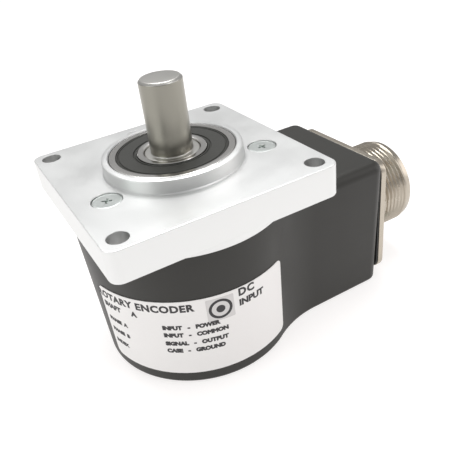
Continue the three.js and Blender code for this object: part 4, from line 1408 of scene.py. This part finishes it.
@dataclass(frozen=True)
class Line:
    """One printed line: its words, place on the cover and size."""

    words: str
    angle: float
    height: float
    size: float
    width: float = 1.0


@dataclass
class Label:
    """Printed sheet round the cover, with generic words and a plain ring."""

    cover: Cover
    start: float = -171.5
    end: float = -59.5
    bottom: float = 3.6
    height: float = 21.5
    gap: float = 0.05
    thickness: float = 0.12
    corner: float = 1.5
    ink: float = 0.02
    ink_lift: float = 0.005
    boldness: float = 0.11
    strip: float = 2.0
    ring_angle: float = -101.5
    ring_height: float = 21.3
    ring_radii: tuple[float, float] = (2.0, 2.65)
    dot_radius: float = 1.0
    patch_side: float = 6.2
    patch_corner: float = 0.3
    patch_thickness: float = 0.01
    lines: tuple[Line, ...] = (
        Line("ROTARY ENCODER", -173.0, 22.3, 2.6, 1.1),
        Line("SHAFT", -169.5, 19.6, 1.9),
        Line("A", -149.0, 19.9, 1.9),
        Line("PHASE  A", -168.5, 15.4, 1.45),
        Line("PHASE  B", -168.5, 11.9, 1.45),
        Line("INDEX", -168.5, 8.2, 1.45),
        Line("INPUT   -   POWER", -132.5, 17.3, 1.5),
        Line("INPUT   -   COMMON", -132.5, 15.1, 1.5),
        Line("SIGNAL   -   OUTPUT", -132.5, 12.6, 1.5),
        Line("CASE   -   GROUND", -132.5, 10.4, 1.5),
        Line("DC", -91.5, 22.9, 2.7, 1.15),
        Line("INPUT", -91.5, 20.2, 2.3),
    )

    def build(self) -> None:
        """Make the sheet and its print."""
        fit(self.sheet(), "printed_label", LABEL_VINYL, "identification_label")
        fit(self.patch(), "label_ring_patch", LABEL_PATCH, slot=LABEL_VINYL.name)
        fit(self.print(), "label_print", LABEL_INK, slot=LABEL_VINYL.name)

    def arc_length(self, angle: float) -> float:
        """Distance along the sheet from its left end to an angle."""
        return math.radians(angle - self.start) * self.wall(self.bottom + self.height / 2)

    def wall(self, height: float) -> float:
        """The cover's radius at a height."""
        return self.cover.radius - self.cover.draft * (self.cover.rim - height)

    def sheet(self) -> bpy.types.Object:
        """The sheet, cut flat and then bent round the cover."""
        size = Vector((self.arc_length(self.end), self.height, self.thickness))
        flat = block(size, size / 2)
        bevel_edges(flat, runs_along(2), self.corner, 6)
        self.slice(flat, [self.strip * i for i in range(1, math.ceil(size.x / self.strip))])
        self.bend(flat, 0)
        return flat

    def patch(self) -> bpy.types.Object:
        """The slightly greyer square behind the ring mark."""
        side, thickness = self.patch_side, self.patch_thickness
        middle = self.arc_length(self.ring_angle)
        centre = (middle, self.ring_height - self.bottom, thickness / 2)
        flat = block((side, side, thickness), centre)
        bevel_edges(flat, runs_along(2), self.patch_corner, 3)
        self.slice(flat, [middle + step for step in range(-2, 3)])
        self.bend(flat, self.thickness)
        return flat

    def slice(self, flat: bpy.types.Object, places: Sequence[float]) -> None:
        """Cut a flat piece across at these places along X, so that it bends evenly."""
        with editing(flat):
            for place in places:
                bpy.ops.mesh.select_all(action="SELECT")
                bpy.ops.mesh.bisect(plane_co=(place * MM, 0, 0), plane_no=(1, 0, 0))

    def bend(self, flat: bpy.types.Object, lift: float) -> None:
        """Wrap a flat piece round the drafted wall.

        Args:
            flat: along X, up Y and out Z, from the sheet's lower left corner.
            lift: how far it stands off the sheet's back.
        """
        middle = math.radians(self.start + self.end) / 2
        half_length = self.arc_length(self.end) / 2
        for vertex in flat.data.vertices:
            along, up, out = vertex.co / MM
            height = self.bottom + up
            angle = middle + (along - half_length) / self.wall(height)
            radius = self.wall(height) + self.gap + lift + out
            vertex.co = Vector((radius * math.cos(angle), radius * math.sin(angle), height)) * MM

    def print(self) -> bpy.types.Object:
        """All the printed marks as one piece."""
        marks = [self.written(line) for line in self.lines]
        marks += self.ring()
        piece = joined(marks)
        with editing(piece):
            weld_and_face_out()
        self.bend(piece, self.thickness + self.ink_lift)
        return piece

    def written(self, line: Line) -> bpy.types.Object:
        """One line of print, still flat."""
        bpy.ops.object.select_all(action="DESELECT")
        bpy.ops.object.text_add()
        text = bpy.context.object
        text.data.body = line.words
        text.data.size = line.size * MM
        text.data.space_character = line.width
        text.data.extrude = self.ink * MM
        text.data.offset = self.boldness * MM
        text.data.resolution_u = 3
        make_active(text)
        bpy.ops.object.convert(target="MESH")
        mark = bpy.context.object
        mark.data.transform(moved(self.arc_length(line.angle), line.height - self.bottom, 0))
        return mark

    def ring(self) -> list[bpy.types.Object]:
        """The plain ring mark."""
        centre = moved(self.arc_length(self.ring_angle), self.ring_height - self.bottom, 0)
        ink = self.ink
        inside, outside = self.ring_radii
        corners = [(inside, -ink), (outside, -ink), (outside, ink), (inside, ink)]
        ring = turned(closed(corners), segments=56)
        dot = rod(self.dot_radius, -ink, ink, SMALL_SEGMENTS)
        for mark in (ring, dot):
            mark.data.transform(centre)
        return [ring, dot]


# ---------------------------------------------------------------- pieces kept from the frame


NODE_FINISHES: dict[str, Finish | BoardFinish | DiscFinish] = {
    "flange_plate": FLANGE_ALUMINIUM,
    "flange_o_ring": GASKET_RUBBER,
    "flange_screw": ZINC_PLATE,
    "housing_cover": COVER_BLACK,
    "front_bearing": RING_STEEL,
    "rear_bearing": RING_STEEL,
    "wave_washer": SPRING_STEEL,
    "bearing_retaining_ring": SPRING_STEEL,
    "shaft": SHAFT_STEEL,
    "shaft_retaining_ring": SPRING_STEEL,
    "code_disc_hub": FLANGE_ALUMINIUM,
    "hub_set_screw": SPRING_STEEL,
    "code_disc": DiscFinish(),
    "signal_board": BoardFinish(),
    "board_standoff": BRASS,
    "board_screw": ZINC_PLATE,
    "read_head_body": BLACK_PLASTIC,
    "emitter_led": CLEAR_GLASS,
    "reticle_plate": CLEAR_GLASS,
    "detector_chip": BLACK_PLASTIC,
    "signal_processor": BLACK_PLASTIC,
    "line_driver": BLACK_PLASTIC,
    "wire_header": INSERT_PLASTIC,
    "connector_gasket": GASKET_RUBBER,
    "connector_shell": NICKEL_PLATE,
    "connector_insert": INSERT_PLASTIC,
    "insert_retaining_ring": SPRING_STEEL,
    "contact_pin": CONTACT_GOLD,
    "connector_screw": ZINC_PLATE,
    "identification_label": LABEL_VINYL,
}


def dress_nodes(nodes: dict[str, bpy.types.Object]) -> None:
    """Give every node of the frame its finish, the longest matching name first."""
    wires = dict(zip("abcdefg", WIRE_COLOURS.items()))
    for name, node in nodes.items():
        if name.startswith("harness_wire"):
            hue, colour = wires[name[-1]]
            finish = Finish(f"wire_{hue}", colour, 0.42, 0.0, FINE, 0.4, 0.004, 0.10, 2)
        elif name.endswith("_seal"):
            finish = SEAL_RUBBER
        else:
            match = max((key for key in NODE_FINISHES if name.startswith(key)), key=len)
            finish = NODE_FINISHES[match]
        material = SHELF.take(finish)
        for holder in node.material_slots:
            holder.material = material
        log.info("%s: %s", name, finish.name)


# ---------------------------------------------------------------- studio


@dataclass(frozen=True)
class Lamp:
    """A soft rectangular light."""

    name: str
    place: Place
    size: tuple[float, float]
    power: float
    tint: Colour = (1.0, 1.0, 1.0)

    def build(self, target: Vector) -> None:
        """Hang the light and aim it at a target in millimetres."""
        data = bpy.data.lights.new(self.name, "AREA")
        data.shape = "RECTANGLE"
        data.size, data.size_y = (side * MM for side in self.size)
        data.energy = self.power
        data.color = self.tint
        lamp = bpy.data.objects.new(self.name, data)
        lamp.location = Vector(self.place) * MM
        lamp.rotation_euler = (target - Vector(self.place)).to_track_quat("-Z", "Y").to_euler()
        bpy.context.collection.objects.link(lamp)


@dataclass
class Studio:
    """Pale floor, soft lights and the camera."""

    camera_place: Place = (-43.15, -107.99, 98.86)
    right: Place = (0.85749394, -0.50267279, -0.10965497)
    up: Place = (0.34845528, 0.41061068, 0.8426018)
    lens: float = 44.96
    sensor: float = 36.0
    floor_size: float = 3000.0
    floor_height: float = -0.05
    paper: tuple[Colour, Colour] = ((0.40, 0.40, 0.40), (0.42, 0.42, 0.42))
    glow: float = 0.74
    glow_tint: Colour = (1, 0.975, 0.965)
    aim: Place = (5, 0, 30)
    world: float = 0.43
    lamps: tuple[Lamp, ...] = (
        Lamp("overhead", (74, 172, 601), (420, 420), 3.1),
        Lamp("back_screen", (90, 330, 560), (760, 520), 0.4),
        Lamp("left_screen", (-520, -60, 230), (360, 360), 0.72, (0.97, 1.0, 0.98)),
        Lamp("high_front", (220, -290, 420), (190, 190), 0.3),
        Lamp("right_screen", (500, -230, 200), (400, 300), 0.7, (1.0, 0.97, 0.96)),
    )

    def build(self) -> None:
        """Set up the camera, the floor, the lights and the surroundings."""
        self.camera()
        self.floor()
        for lamp in self.lamps:
            lamp.build(Vector(self.aim))
        world = bpy.data.worlds.new("studio")
        world.use_nodes = True
        background = world.node_tree.nodes["Background"]
        background.inputs["Color"].default_value = (1, 1, 1, 1)
        background.inputs["Strength"].default_value = self.world
        bpy.context.scene.world = world
        bpy.context.scene.view_settings.view_transform = "Standard"

    def camera(self) -> None:
        """Place the camera."""
        data = bpy.data.cameras.new("view")
        data.lens = self.lens
        data.sensor_width = self.sensor
        data.clip_start = 0.001
        camera = bpy.data.objects.new("view", data)
        right, up = Vector(self.right), Vector(self.up)
        turn = Matrix((right, up, right.cross(up))).transposed().to_4x4()
        camera.matrix_world = moved(*self.camera_place) @ turn
        bpy.context.collection.objects.link(camera)
        bpy.context.scene.camera = camera

    def floor(self) -> None:
        """Lay the pale floor under the rear face."""
        place = (0, 0, self.floor_height * MM)
        bpy.ops.mesh.primitive_plane_add(size=self.floor_size * MM, location=place)
        floor = bpy.context.object
        floor.name = "floor"
        shader = Shader("floor_paper")
        surface = shader.surface.inputs
        tone = shader.noise(8, 2.0)
        shader.feed(surface["Base Color"], shader.blend(tone, *self.paper))
        shader.feed(surface["Roughness"], 0.8 + tone * 0.1)
        surface["Emission Color"].default_value = (*self.glow_tint, 1)
        surface["Emission Strength"].default_value = self.glow
        floor.data.materials.append(shader.material)


# ---------------------------------------------------------------- whole object


def main() -> None:
    """Build the encoder and its studio."""
    logging.basicConfig(level=logging.INFO, format="%(name)s: %(message)s")
    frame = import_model()
    bpy.ops.object.select_all(action="DESELECT")
    Studio().build()
    dress_nodes(frame["nodes"])
    cover = Cover()
    for part in (
        Flange(),
        FlangeScrews(),
        cover,
        Bearing("front", centre=44.755),
        Bearing("rear", centre=30.815),
        Shaft(),
        Connector(),
        Label(cover),
    ):
        part.build()
        log.info("%s built", type(part).__name__)


if __name__ == "__main__":
    main()
